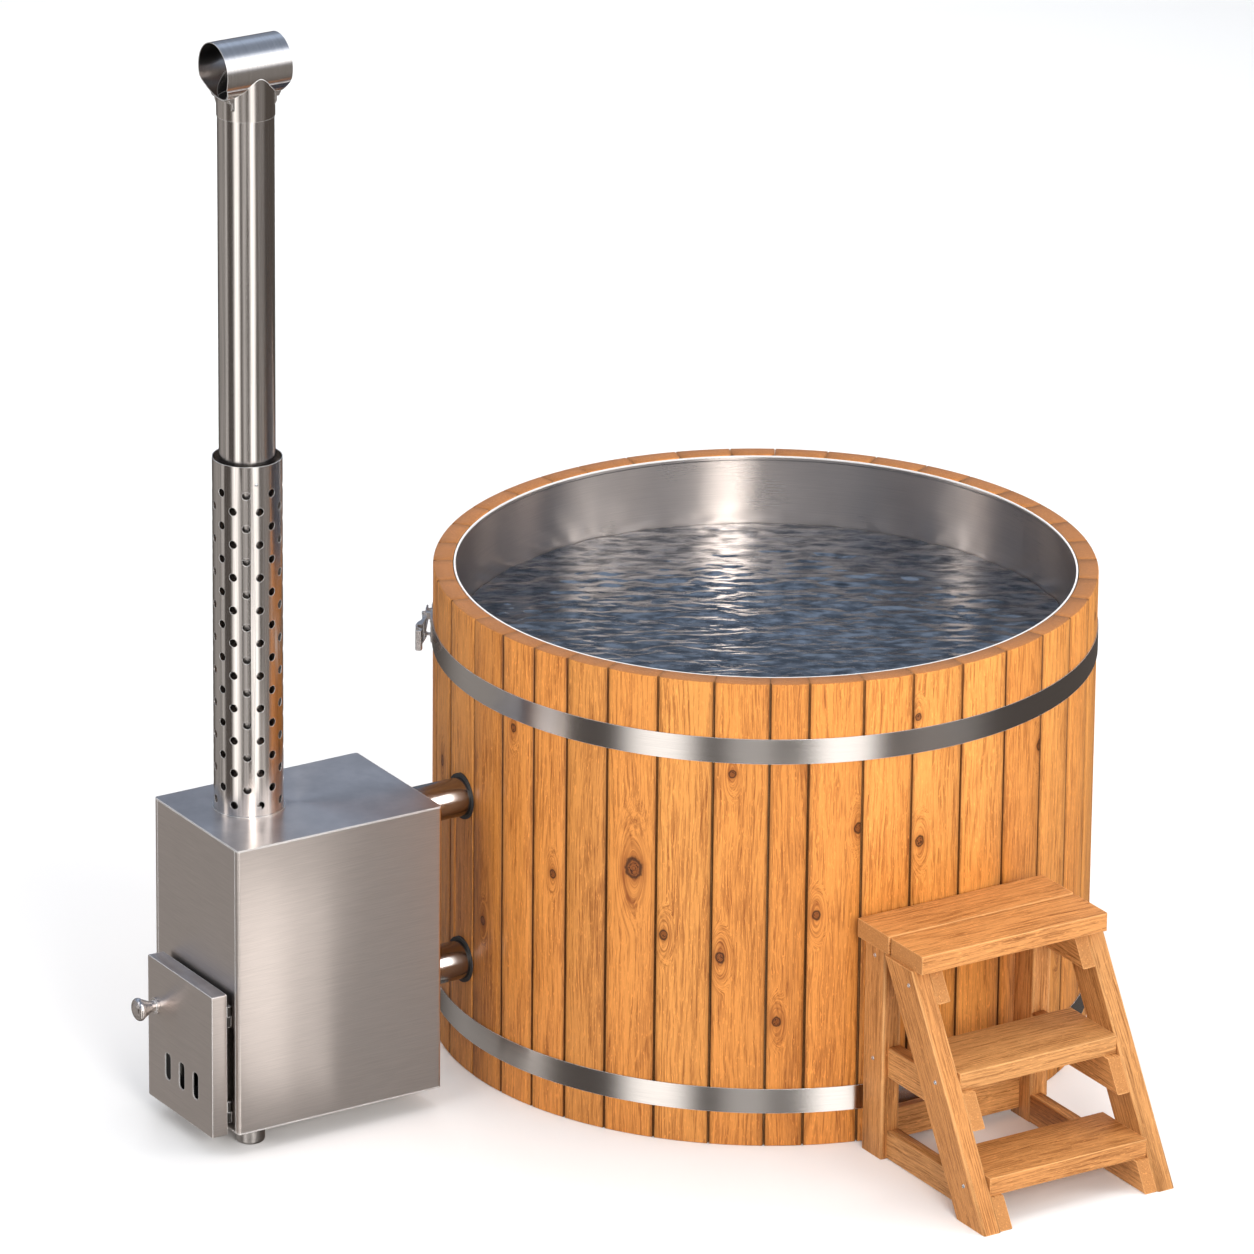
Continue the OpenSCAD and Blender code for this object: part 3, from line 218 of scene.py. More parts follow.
# grain of a sawn softwood board, in metres across, in depth from its face, and along
grainLayers = {
    # stretch across, in depth and along the board, then detail, roughness and warp of its noise
    "drift": ((12.0, 12.0, 3.2), 2.0, 0.5, 0.0),
    "slow": ((9.0, 9.0, 1.3), 3.0, 0.45, 0.0),
    "fibre": ((520.0, 520.0, 15.0), 4.0, 0.68, 0.25),
    "streak": ((150.0, 150.0, 5.0), 3.0, 0.6, 0.2),
    "pore": ((900.0, 900.0, 34.0), 1.0, 0.5, 0.0),
    "fleck": ((330.0, 330.0, 55.0), 2.0, 0.5, 0.6),
    "cloud": ((22.0, 22.0, 4.0), 2.0, 0.5, 0.0),
}
plank = {
    "least": 0.0001,  # nothing is divided by less
    "boardShift": (3.1, 5.7, 9.3), "shiftSpread": 7.0,  # each board has its own place in the noise
    "endFace": (0.55, 0.85), "easedFace": (0.80, 0.985),  # from where to where a face counts as such
    # knots: size 1 is the knot's own radius
    "wobbleScale": 70.0, "wobble": 0.7, "knotLength": 0.6, "bendLength": 0.11, "bend": (0.9, 3.4),
    "heart": (0.72, 0.98), "heartShare": 0.93, "heartRings": 3.4, "heartRing": (0.15, 0.9),
    "heartPale": (0.26, 0.080, 0.014), "heartDeep": (0.12, 0.034, 0.006),
    "halo": (1.1, 2.5), "haloShare": 0.42, "haloColor": (0.27, 0.078, 0.013),
    "rimStart": (0.62, 0.92), "rimEnd": (1.0, 1.34), "rimShare": 0.88, "rimColor": (0.030, 0.008, 0.002),
    "splitScale": 210.0, "split": (0.56, 0.62), "splitEnd": (0.55, 0.8),
    # grain and growth rings
    "drift": 0.030, "straighter": 0.8, "pithTurns": 47.0, "pithSide": 0.055, "pithDepth": (0.07, 0.05),
    "ringWander": 0.075, "ringBend": 0.014, "lateWood": (0.25, 0.85), "lateEnd": (0.86, 1.0),
    "pore": (0.60, 0.72), "fleck": (0.58, 0.70),
    # how deep the colour is: middle and share of each layer, then the other shares
    "amounts": {"fibre": (0.5, 2.9), "streak": (0.46, 1.7), "cloud": (0.44, 0.8)},
    "endAmount": 0.45, "endShare": 0.8, "poreShare": 0.22, "bendShare": 0.22,
    "fleckBright": 1.45, "fleckShare": 0.5, "fleckLoss": 0.42,
    # dark lines and painted shade in the joints, painted light and shade across each board, sawn ends, and
    # each board's own tone
    "line": (0.0018, 0.0042), "lineShare": 0.92, "shade": (0.003, 0.013), "shadeShare": 0.30,
    "jointShadeColor": (0.05, 0.014, 0.003), "jointShadeLoss": 0.72, "endTint": (0.74, 0.78, 1.12),
    "narrowest": 0.001, "sideShadeStart": 1.02, "sideShadeFall": 0.085,
    "toneTurns": 13.7, "redTurns": 31.3, "endEven": 0.75, "evenTone": 0.5,
    "toneRange": 0.22, "toneLow": 0.87, "redTint": (1.0, 0.90, 0.80),
    # roughness and height
    "rough": 0.42, "fibreRough": 0.16, "heartRough": 0.12,
    "fibreHeight": 0.35, "poreHeight": 0.35, "streakHeight": 0.30, "heartHeight": 0.5,
}


def grainNoise(tree, layer, place):
    stretch, detail, rough, warp = grainLayers[layer]
    return noise(tree, vector(tree, "MULTIPLY", place, stretch), 1.0, detail, rough, warp)


def boardFaces(tree, alongWay, sideWay):
    # Sawn ends face along the board, and eased edges face between its sides.
    facing = put(tree, "ShaderNodeNewGeometry").outputs["Normal"]
    ways = alongWay, sideWay, vector(tree, "CROSS_PRODUCT", alongWay, sideWay)
    endways, sideways, upright = (
        maths(tree, "ABSOLUTE", vector(tree, "DOT_PRODUCT", facing, way)) for way in ways)
    rest = minus(tree, 1.0, times(tree, endways, endways))
    around = maths(tree, "SQRT", maths(tree, "MAXIMUM", rest, plank["least"]))
    straight = maths(tree, "DIVIDE", maths(tree, "MAXIMUM", sideways, upright), around)
    sawnEnd = rising(tree, endways, *plank["endFace"])
    eased = times(tree, falling(tree, straight, *plank["easedFace"]), minus(tree, 1.0, sawnEnd))
    return sawnEnd, eased


def knotFields(tree, knots, parts, moved):
    # How near the closer knot is: in knot sizes, in metres, and stretched along the board.
    wobble = swing(tree, noise(tree, moved, plank["wobbleScale"]), 0.5, plank["wobble"])
    fields = []
    for knot in knots:
        spot = apart(tree, knot)
        size = maths(tree, "MAXIMUM", spot["Z"], plank["least"])
        across = square(tree, maths(tree, "DIVIDE", minus(tree, parts["X"], spot["X"]), size))
        along = square(tree, maths(tree, "DIVIDE", minus(tree, parts["Z"], spot["Y"]), size))
        near, core = (
            maths(tree, "SQRT", maths(tree, "MULTIPLY_ADD", along, plank[name], across))
            for name in ("knotLength", "bendLength"))
        fields.append((plus(tree, near, wobble), times(tree, core, size), core))
    return [maths(tree, "MINIMUM", a, b) for a, b in zip(*fields)]


def lateWood(tree, parts, moved, seed, bend, ringWidth):
    # Growth rings round a pith that lies behind the face.
    depth, depthSpread = plank["pithDepth"]
    pith = times(tree, maths(tree, "SINE", times(tree, seed, plank["pithTurns"])), plank["pithSide"])
    across = minus(tree, parts["X"], pith)
    inward = plus(tree, parts["Y"], plus(tree, depth, times(tree, seed, depthSpread)))
    radius = maths(tree, "SQRT", plus(tree, square(tree, across), square(tree, inward)))
    radius = plus(tree, radius, swing(tree, grainNoise(tree, "slow", moved), 0.5, plank["ringWander"]))
    radius = plus(tree, radius, times(tree, bend, plank["ringBend"]))
    ring = maths(tree, "FRACT", maths(tree, "DIVIDE", radius, ringWidth))
    return times(tree, rising(tree, ring, *plank["lateWood"]), falling(tree, ring, *plank["lateEnd"]))


def paintKnots(tree, color, near, heart, moved):
    # A brown heart with rings and splits, a thin dark rim and a halo.
    ring = rising(tree, fraction(tree, near, plank["heartRings"]), *plank["heartRing"])
    heartColor = blendColor(tree, ring, solid(plank["heartPale"]), solid(plank["heartDeep"]))
    halo = times(tree, falling(tree, near, *plank["halo"]), plank["haloShare"])
    color = blendColor(tree, halo, color, solid(plank["haloColor"]))
    color = blendColor(tree, times(tree, heart, plank["heartShare"]), color, heartColor)
    rim = times(tree, rising(tree, near, *plank["rimStart"]), falling(tree, near, *plank["rimEnd"]))
    split = rising(tree, noise(tree, moved, plank["splitScale"], 1.0), *plank["split"])
    split = times(tree, split, falling(tree, near, *plank["splitEnd"]))
    dark = times(tree, maths(tree, "MAXIMUM", rim, split), plank["rimShare"])
    return blendColor(tree, dark, color, solid(plank["rimColor"]))


def paintJoints(tree, color, across, halfWidth, joint, sawnEnd):
    # A dark line, with painted shade beside it, lies in the joint at both edges of a board, and sawn ends
    # are greyer.
    inset = minus(tree, halfWidth, maths(tree, "ABSOLUTE", across))
    line = times(tree, falling(tree, inset, *plank["line"]), plank["lineShare"])
    shade = times(tree, falling(tree, inset, *plank["shade"]), plank["shadeShare"])
    darkening = times(tree, maths(tree, "MAXIMUM", line, shade), joint)
    darkening = times(tree, darkening, minus(tree, 1.0, times(tree, sawnEnd, plank["jointShadeLoss"])))
    color = blendColor(tree, darkening, color, solid(plank["jointShadeColor"]))
    color = blendColor(tree, times(tree, sawnEnd, joint), color, solid(plank["endTint"]), mode="MULTIPLY")
    # painted light and shade: between joints, a board is a little lighter towards one edge and darker
    # towards the other
    side = maths(tree, "DIVIDE", across, maths(tree, "MAXIMUM", halfWidth, plank["narrowest"]))
    fall = times(tree, times(tree, side, joint), plank["sideShadeFall"])
    return scaled(tree, color, minus(tree, plank["sideShadeStart"], fall))


def paintTone(tree, color, seed, sawnEnd):
    # Each board has its own tone, and some are redder.
    even = times(tree, sawnEnd, plank["endEven"])
    tone, redder = (
        blendNumber(tree, even, fraction(tree, seed, plank[name]), plank["evenTone"])
        for name in ("toneTurns", "redTurns"))
    bright = maths(tree, "MULTIPLY_ADD", tone, plank["toneRange"], plank["toneLow"])
    return blendColor(tree, redder, scaled(tree, color, bright), solid(plank["redTint"]), mode="MULTIPLY")


def buildPlankGroup():
    tree, given, out = makeTree(
        "plankGrain", "ShaderNodeTree",
        [("Place", "Vector", None), ("Seed", "Float", 0.0),
         ("Knot A", "Vector", None), ("Knot B", "Vector", None),
         ("Pale", "Color", solid((0.7, 0.35, 0.12))), ("Deep", "Color", solid((0.45, 0.18, 0.05))),
         ("Ring Width", "Float", 0.007), ("Contrast", "Float", 0.6), ("Half Width", "Float", 1.0),
         ("Joint", "Float", 0.0), ("Along", "Vector", None), ("Side", "Vector", None)],
        [("Color", "Color"), ("Roughness", "Float"), ("Height", "Float"), ("Eased", "Float")],
    )
    seed = given["Seed"]
    parts = apart(tree, given["Place"])
    shift = scaled(tree, plank["boardShift"], times(tree, seed, plank["shiftSpread"]))
    moved = vector(tree, "ADD", given["Place"], shift)
    sawnEnd, eased = boardFaces(tree, given["Along"], given["Side"])
    near, distance, core = knotFields(tree, (given["Knot A"], given["Knot B"]), parts, moved)
    bend = falling(tree, core, *plank["bend"])
    # grain runs along the board and closes round the knots
    drift = swing(tree, grainNoise(tree, "drift", moved), 0.5, plank["drift"])
    flowX = plus(tree, blendNumber(tree, bend, parts["X"], distance), drift)
    flowZ = times(tree, parts["Z"], minus(tree, 1.0, times(tree, bend, plank["straighter"])))
    flow = vector(tree, "ADD", together(tree, flowX, parts["Y"], flowZ), shift)
    layers = {name: grainNoise(tree, name, flow) for name in ("fibre", "streak", "pore", "fleck")}
    layers["cloud"] = grainNoise(tree, "cloud", moved)
    pore, fleck = (rising(tree, layers[name], *plank[name]) for name in ("pore", "fleck"))
    # how deep the colour is
    amount = times(tree, lateWood(tree, parts, moved, seed, bend, given["Ring Width"]), given["Contrast"])
    for name, (middle, share) in plank["amounts"].items():
        amount = plus(tree, amount, swing(tree, layers[name], middle, share))
    amount = blendNumber(tree, times(tree, sawnEnd, plank["endShare"]), amount, plank["endAmount"])
    amount = plus(tree, amount, times(tree, pore, plank["poreShare"]))
    amount = plus(tree, amount, times(tree, bend, plank["bendShare"]), clamp=True)
    color = blendColor(tree, amount, given["Pale"], given["Deep"])
    lessFleck = minus(tree, plank["fleckShare"], times(tree, bend, plank["fleckLoss"]))
    bright = scaled(tree, given["Pale"], plank["fleckBright"])
    color = blendColor(tree, times(tree, fleck, lessFleck), color, bright)
    heart = falling(tree, near, *plank["heart"])
    color = paintKnots(tree, color, near, heart, moved)
    color = paintJoints(tree, color, parts["X"], given["Half Width"], given["Joint"], sawnEnd)
    rough = plus(tree, plank["rough"], times(tree, layers["fibre"], plank["fibreRough"]))
    height = times(tree, layers["fibre"], plank["fibreHeight"])
    height = minus(tree, height, times(tree, pore, plank["poreHeight"]))
    height = plus(tree, height, times(tree, layers["streak"], plank["streakHeight"]))
    tree.links.new(paintTone(tree, color, seed, sawnEnd), out["Color"])
    tree.links.new(minus(tree, rough, times(tree, heart, plank["heartRough"])), out["Roughness"])
    tree.links.new(minus(tree, height, times(tree, heart, plank["heartHeight"])), out["Height"])
    tree.links.new(eased, out["Eased"])
    return tree


# fine lines of a brushed sheet, their cloudy unevenness and a few longer scratches
brushSet = {"lines": (3.0, 0.65), "clouds": (3.0, 0.55),  # detail and roughness of the noise
            "scratchScale": 0.33, "scratches": (0.70, 0.78)}


def buildBrushedGroup():
    tree, given, out = makeTree(
        "brushedSheet", "ShaderNodeTree",
        [("Place", "Vector", None), ("Lines", "Vector", (6.0, 6.0, 900.0)), ("Clouds", "Float", 5.0)],
        [("Lines", "Float"), ("Clouds", "Float"), ("Scratches", "Float")],
    )
    drawn = vector(tree, "MULTIPLY", given["Place"], given["Lines"])
    thin = noise(tree, drawn, brushSet["scratchScale"], 0.0)
    tree.links.new(noise(tree, drawn, 1.0, *brushSet["lines"]), out["Lines"])
    tree.links.new(noise(tree, given["Place"], given["Clouds"], *brushSet["clouds"]), out["Clouds"])
    tree.links.new(rising(tree, thin, *brushSet["scratches"]), out["Scratches"])
    return tree


# painted highlight on outer edges, from the difference of a rounded normal
edgeHighlightSet = {"samples": 4, "alike": (0.90, 0.995), "patchNoise": (18.0, 3.0), "patches": (0.30, 0.60),
          "dullest": 0.55}


def buildEdgeGroup():
    inputs = [("Width", "Float", 0.002), ("Place", "Vector", None)]
    tree, given, out = makeTree("edgeHighlight", "ShaderNodeTree", inputs, [("Edge", "Float")])
    bevel = put(tree, "ShaderNodeBevel", {"Radius": given["Width"]}, samples=edgeHighlightSet["samples"])
    flat = put(tree, "ShaderNodeNewGeometry").outputs["Normal"]
    edge = falling(tree, vector(tree, "DOT_PRODUCT", bevel.outputs["Normal"], flat), *edgeHighlightSet["alike"])
    patchNoise = noise(tree, given["Place"], *edgeHighlightSet["patchNoise"])
    patches = rising(tree, patchNoise, *edgeHighlightSet["patches"], edgeHighlightSet["dullest"], 1.0)
    tree.links.new(times(tree, edge, patches), out["Edge"])
    return tree


plankGrain, brushedSheet, edgeHighlight = buildPlankGroup(), buildBrushedGroup(), buildEdgeGroup()
print("shader groups built")


# wood
woodLooks = {
    "staveWood": {
        "pale": (0.66, 0.280, 0.066), "deep": (0.24, 0.070, 0.012), "ringWidth": 0.0085,
        "contrast": 0.24, "joint": 1.0},
    "stepWood": {
        "pale": (0.57, 0.278, 0.098), "deep": (0.20, 0.070, 0.015), "ringWidth": 0.0075,
        "contrast": 0.32, "joint": 0.0},
    "paleWood": {
        "pale": (0.56, 0.33, 0.14), "deep": (0.36, 0.18, 0.06), "ringWidth": 0.008,
        "contrast": 0.35, "joint": 0.4},
}
woodSet = {
    "edge": 0.0045,  # width of the eased edges that are painted paler as a highlight
    "edgeHighlightColor": (0.86, 0.47, 0.19), "edgeHighlightTint": 0.7, "edgeHighlightShare": 0.75, "edgeHighlightLoss": 0.35,
    "bump": 0.45, "bumpDepth": 0.0010,
    "shader": {"Specular IOR Level": 0.28, "Coat Weight": 0.05, "Coat Roughness": 0.32},
}


def makeWood(name):
    look = woodLooks[name]
    material, tree, shader = makeMaterial(name)

    def attribute(label, output="Vector"):
        return put(tree, "ShaderNodeAttribute", attribute_name=label).outputs[output]

    place = attribute("grainPlace")
    grain = useGroup(tree, plankGrain, {
        "Place": place, "Seed": attribute("plankSeed", "Fac"), "Half Width": attribute("plankHalf", "Fac"),
        "Knot A": attribute("knotA"), "Knot B": attribute("knotB"),
        "Along": attribute("boardAlong"), "Side": attribute("boardSide"),
        "Pale": solid(look["pale"]), "Deep": solid(look["deep"]),
        "Ring Width": look["ringWidth"], "Contrast": look["contrast"], "Joint": look["joint"],
    })
    # painted highlight: the outer and eased edges are painted paler
    edge = useGroup(tree, edgeHighlight, {"Width": woodSet["edge"], "Place": place})["Edge"]
    eased = times(tree, grain["Eased"], 1.0 - look["joint"])
    edge = maths(tree, "MAXIMUM", edge, eased, clamp=True)
    paler = blendColor(tree, woodSet["edgeHighlightTint"], grain["Color"], solid(woodSet["edgeHighlightColor"]))
    share = woodSet["edgeHighlightShare"] - woodSet["edgeHighlightLoss"] * look["joint"]
    color = blendColor(tree, times(tree, edge, share), grain["Color"], paler)
    setShader(tree, shader, {"Base Color": color, "Roughness": grain["Roughness"], **woodSet["shader"]})
    addBump(tree, shader, grain["Height"], woodSet["bump"], woodSet["bumpDepth"])
    return material


# steel
def steelLook(color, rough, lines, spread=0.0, edge=0.0012, contrast=1.0, **more):
    # lines of the brush are per metre in x, y and z, and spread draws the gloss out across them
    return {"color": color, "rough": rough, "lines": lines, "spread": spread, "edge": edge,
            "contrast": contrast, **more}


sheetLook = steelLook((0.67, 0.60, 0.555), 0.32, (13, 13, 1200), spread=0.80, edge=0.0029, contrast=0.6)
steelLooks = {
    "sheetSteel": sheetLook,
    # soot and painted shade behind the door: how deep in its box and how far inside its outline it
    # starts, how long it fades in, and how far from the hinge side it ends
    "frontSteel": {**sheetLook, "soot": {"depth": 0.0, "inside": 0.03, "fade": 0.03, "hinge": -0.022}},
    "doorSteel": {**sheetLook, "soot": {"depth": 0.0035, "inside": 0.0045, "fade": 0.0006, "hinge": 0.0035}},
    "bandSteel": steelLook((0.62, 0.58, 0.55), 0.24, (9, 9, 1500), spread=0.85, contrast=0.45),
    "linerSteel": steelLook(
        (0.67, 0.585, 0.53), 0.29, (9, 9, 1300), spread=0.85, edge=0, contrast=0.5, rim=0.004),
    "fluePipeSteel": steelLook((0.66, 0.62, 0.59), 0.20, (420, 420, 3), spread=0.80),
    "cowlSteel": steelLook((0.66, 0.62, 0.59), 0.21, (500, 6, 6), contrast=0.5),
    "flowPipeSteel": steelLook((0.33, 0.315, 0.305), 0.21, (900, 6, 6), contrast=0.4),
    "latchSteel": steelLook((0.62, 0.59, 0.57), 0.27, (200, 200, 200)),
    "knobSteel": steelLook((0.66, 0.61, 0.58), 0.20, (600, 60, 60)),
    "screwSteel": steelLook((0.66, 0.66, 0.66), 0.26, (300, 300, 300), edge=0.0006),
    "footSteel": steelLook((0.46, 0.43, 0.41), 0.36, (90, 90, 90), edge=0.0015),
    # near black: painted shade on the hinge and catch parts in the door's gap
    "hingeShadeSteel": steelLook((0.055, 0.05, 0.046), 0.45, (60, 60, 60), edge=0.0015),
    "valveSteel": steelLook((0.72, 0.72, 0.71), 0.16, (300, 300, 300), edge=0.0008),
}
steelSet = {
    "darker": 0.20, "lighter": 0.12, "lines": (0.25, 0.75), "clouds": (0.35, 0.75), "cloudShare": 0.22,
    "scratchShare": 0.35,
    "edgeHighlightRange": (0.0, 0.4),  # the painted edge highlight sets in sooner on steel than on wood
    "edgeHighlightColor": (0.98, 0.96, 0.94), "edgeHighlightShare": 0.95, "edgeHighlightMatt": 0.85,
    "turn": 0.25,  # of the drawn-out gloss, in whole turns
    "smoother": 0.05, "lineRough": 0.06, "cloudRough": 0.06, "bump": 0.10, "bumpDepth": 0.0003,
    # soot and painted shade behind the door: colour, edge, noise and patches
    "sootAndShadeColor": (0.006, 0.005, 0.0045), "sootAndShadeEdge": 0.0005, "sootAndShadeNoise": (14.0, 3.0),
    "sootAndShadePatches": (0.2, 0.6), "thinnestSootAndShade": 0.97,
}


def steelEdge(tree, look, place):
    if look["edge"]:
        edgeHighlightRange = useGroup(tree, edgeHighlight, {"Width": look["edge"], "Place": place})["Edge"]
        return rising(tree, edgeHighlightRange, *steelSet["edgeHighlightRange"])
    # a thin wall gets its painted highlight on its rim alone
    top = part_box("liner")[1].z
    return rising(tree, apart(tree, place)["Z"], top - look["rim"], top - look["rim"] / 2)


def addSootAndShade(tree, soot, place, color):
    # soot stain and painted shade behind the door's outer sheet, so that the slots and gaps look dark
    low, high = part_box("door_skin")
    parts = apart(tree, place)
    deep = low.x + soot["depth"]
    darkening = rising(tree, parts["X"], deep, deep + steelSet["sootAndShadeEdge"])
    for axis, first, end in (("Y", low.y, high.y - soot["hinge"]), ("Z", low.z, high.z - soot["inside"])):
        start = first + soot["inside"]
        darkening = times(tree, darkening, rising(tree, parts[axis], start - soot["fade"], start))
        darkening = times(tree, darkening, falling(tree, parts[axis], end - soot["fade"] / 3, end))
    patchNoise = noise(tree, place, *steelSet["sootAndShadeNoise"])
    patches = rising(tree, patchNoise, *steelSet["sootAndShadePatches"], steelSet["thinnestSootAndShade"], 1.0)
    return blendColor(tree, times(tree, darkening, patches), color, solid(steelSet["sootAndShadeColor"]))


def makeSteel(name):
    look = steelLooks[name]
    contrast = look["contrast"]
    material, tree, shader = makeMaterial(name)
    place = objectPlace(tree)
    brushed = useGroup(tree, brushedSheet, {"Place": place, "Lines": look["lines"]})
    dark = solid((1 - steelSet["darker"] * contrast) * c for c in look["color"])
    light = solid(min(1.0, (1 + steelSet["lighter"] * contrast) * c) for c in look["color"])
    color = blendColor(tree, rising(tree, brushed["Lines"], *steelSet["lines"]), dark, light)
    clouds = rising(tree, brushed["Clouds"], *steelSet["clouds"], 0.0, steelSet["cloudShare"])
    color = blendColor(tree, clouds, color, dark)
    color = blendColor(tree, times(tree, brushed["Scratches"], steelSet["scratchShare"]), color, light)
    # painted highlight: edges are painted near white and made less metallic, so the lamps light them up
    edge = steelEdge(tree, look, place)
    color = blendColor(tree, times(tree, edge, steelSet["edgeHighlightShare"]), color, solid(steelSet["edgeHighlightColor"]))
    bare = minus(tree, 1.0, times(tree, edge, steelSet["edgeHighlightMatt"]))
    # soot and painted shade behind the door
    if "soot" in look:
        color = addSootAndShade(tree, look["soot"], place, color)
    rough = times(tree, brushed["Lines"], steelSet["lineRough"] * contrast)
    rough = plus(tree, look["rough"] - steelSet["smoother"], rough)
    rough = plus(tree, rough, times(tree, brushed["Clouds"], steelSet["cloudRough"]))
    shader["Metallic"].default_value = 1.0  # for any export that drops the link
    setShader(tree, shader, {
        "Base Color": color, "Metallic": bare, "Roughness": rough,
        "Anisotropic": look["spread"], "Anisotropic Rotation": steelSet["turn"]})
    bump = addBump(tree, shader, brushed["Lines"], steelSet["bump"] * contrast, steelSet["bumpDepth"])
    if look["edge"]:
        bevel = put(tree, "ShaderNodeBevel", {"Radius": look["edge"]}, samples=edgeHighlightSet["samples"])
        tree.links.new(bevel.outputs["Normal"], bump.inputs["Normal"])
    return material


# brass, soot, rubber, iron, dipped plastic and rope: dark and light tone, metal, roughness, noise scale
plainLooks = {
    "turnedBrass": ((0.42, 0.29, 0.11), (0.66, 0.50, 0.24), 1.0, 0.30, 40.0),
    "sootSteel": ((0.006, 0.006, 0.006), (0.022, 0.020, 0.018), 0.2, 0.7, 30.0),
    "sealRubber": ((0.012, 0.012, 0.012), (0.035, 0.034, 0.033), 0.0, 0.62, 60.0),
    "castIron": ((0.022, 0.020, 0.019), (0.07, 0.06, 0.052), 0.6, 0.68, 120.0),
    "dippedLever": ((0.24, 0.016, 0.012), (0.42, 0.030, 0.022), 0.0, 0.36, 30.0),
    "glassRope": ((0.05, 0.047, 0.042), (0.16, 0.15, 0.135), 0.0, 0.9, 260.0),
}
plainSet = {"finer": 9, "broad": (4.0, 0.6), "fine": (2.0, 0.6),  # detail and roughness of the noise
            "broadShare": 0.7, "fineShare": 0.3, "tone": (0.3, 0.7), "smoother": 0.08, "roughRange": 0.16,
            "bump": 0.3, "bumpDepth": 0.0005}


def makePlain(name):
    dark, light, metal, rough, scale = plainLooks[name]
    material, tree, shader = makeMaterial(name)
    place = objectPlace(tree)
    broad = noise(tree, place, scale, *plainSet["broad"])
    fine = noise(tree, place, scale * plainSet["finer"], *plainSet["fine"])
    amount = plus(tree, times(tree, broad, plainSet["broadShare"]), times(tree, fine, plainSet["fineShare"]))
    setShader(tree, shader, {
        "Base Color": blendColor(tree, rising(tree, amount, *plainSet["tone"]), solid(dark), solid(light)),
        "Roughness": plus(tree, rough - plainSet["smoother"], times(tree, broad, plainSet["roughRange"])),
        "Metallic": metal})
    addBump(tree, shader, fine, plainSet["bump"], plainSet["bumpDepth"])
    return material


print("materials described")


# boards: a copy of each wooden part that knows its own boards, their grain and their knots
staveKnots = [
    # degrees round the tub, height, size
    (215, 0.684, 0.019), (189.5, 0.954, 0.008), (232, 0.949, 0.008), (253.5, 0.806, 0.009),
    (264, 1.066, 0.007), (264.7, 0.751, 0.010), (220.5, 0.525, 0.009), (230.3, 0.481, 0.010),
    (246.5, 0.592, 0.009), (240, 0.321, 0.009), (232, 0.238, 0.006), (233, 0.066, 0.006),
    (199, 0.62, 0.008), (181, 0.42, 0.008), (270.5, 0.42, 0.008), (292, 0.90, 0.010),
    (300, 0.35, 0.014), (318, 1.10, 0.007), (327, 0.50, 0.009), (346, 0.80, 0.015), (5, 1.06, 0.008),
    (14, 0.40, 0.010), (36, 0.55, 0.014), (47, 0.93, 0.008), (66, 0.68, 0.009), (88, 0.45, 0.008),
    (98, 1.05, 0.010), (108, 0.63, 0.013), (128, 0.86, 0.008), (139, 0.58, 0.011), (163, 0.74, 0.009),
]
boardSet = {
    "seed": 11, "mergeWithin": 1e-5, "sharpAbove": 32, "flatWithin": 1,  # the last two in degrees
    # knots of the pale boards: the share that has one, its size, and how far out it may lie
    "knotty": ["wood_pale"], "knotShare": 0.5, "knotSizes": (0.004, 0.007),
    "knotAcross": 0.6, "knotAlong": 0.7,
    "noKnot": (9.0, 9.0, 0.0001),  # too far away to show
}
boardVectors = ("grainPlace", "knotA", "knotB", "boardAlong", "boardSide")
boardNumbers = ("plankSeed", "plankHalf")


def islandsOf(mesh):
    # which board every vertex belongs to
    parent = list(range(len(mesh.vertices)))

    def root(i):
        while parent[i] != i:
            parent[i] = parent[parent[i]]
            i = parent[i]
        return i

    for edge in mesh.edges:
        a, b = root(edge.vertices[0]), root(edge.vertices[1])
        if a != b:
            parent[b] = a
    groups = {}
    for i in range(len(parent)):
        groups.setdefault(root(i), []).append(i)
    return sorted(groups.values(), key=lambda members: members[0])


def longDirection(mesh, members):
    # the longest true edge of a board, found once its flat faces are whole
    work = bmesh.new()
    work.from_mesh(mesh)
    keep = set(members)
    work.verts.ensure_lookup_table()
    bmesh.ops.delete(work, geom=[v for v in work.verts if v.index not in keep], context="VERTS")
    limit = math.radians(boardSet["flatWithin"])
    bmesh.ops.dissolve_limit(work, angle_limit=limit, verts=work.verts, edges=work.edges)
    longest = max(work.edges, key=lambda e: e.calc_length())
    way = (longest.verts[1].co - longest.verts[0].co).normalized()
    work.free()
    return way if way.dot(Vector((1, 1, 1))) > 0 else -way


def mergedCopy(nodeName, pieceName):
    mesh = nodes[nodeName].data.copy()
    mesh.name = pieceName
    work = bmesh.new()
    work.from_mesh(mesh)
    bmesh.ops.remove_doubles(work, verts=work.verts, dist=boardSet["mergeWithin"])
    work.to_mesh(mesh)
    work.free()
    for extra in list(mesh.uv_layers):
        mesh.uv_layers.remove(extra)
    mesh.polygons.foreach_set("use_smooth", [True] * len(mesh.polygons))
    mesh.set_sharp_from_angle(angle=math.radians(boardSet["sharpAbove"]))
    return addObject(pieceName, mesh)


def staveGrain(at):
    # Across is the arc, depth counts from the outside, along is up.
    turn = np.arctan2(at[:, 1], at[:, 0])
    middle = math.atan2(np.sin(turn).mean(), np.cos(turn).mean())
    offset = (turn - middle + math.pi) % (2 * math.pi) - math.pi
    reach = np.hypot(at[:, 0], at[:, 1])
    tubRadius = reach.max()
    local = np.stack([offset * tubRadius, reach - tubRadius, at[:, 2]], 1)
    low, high = math.degrees(offset.min()), math.degrees(offset.max())
    found = []
    for degrees, height, size in staveKnots:
        away = degrees - math.degrees(middle)
        away -= 360 * round(away / 360)
        if low < away < high:
            found.append((math.radians(away) * tubRadius, height, size))
    return local, (0, 0, 1), (-math.sin(middle), math.cos(middle), 0), found


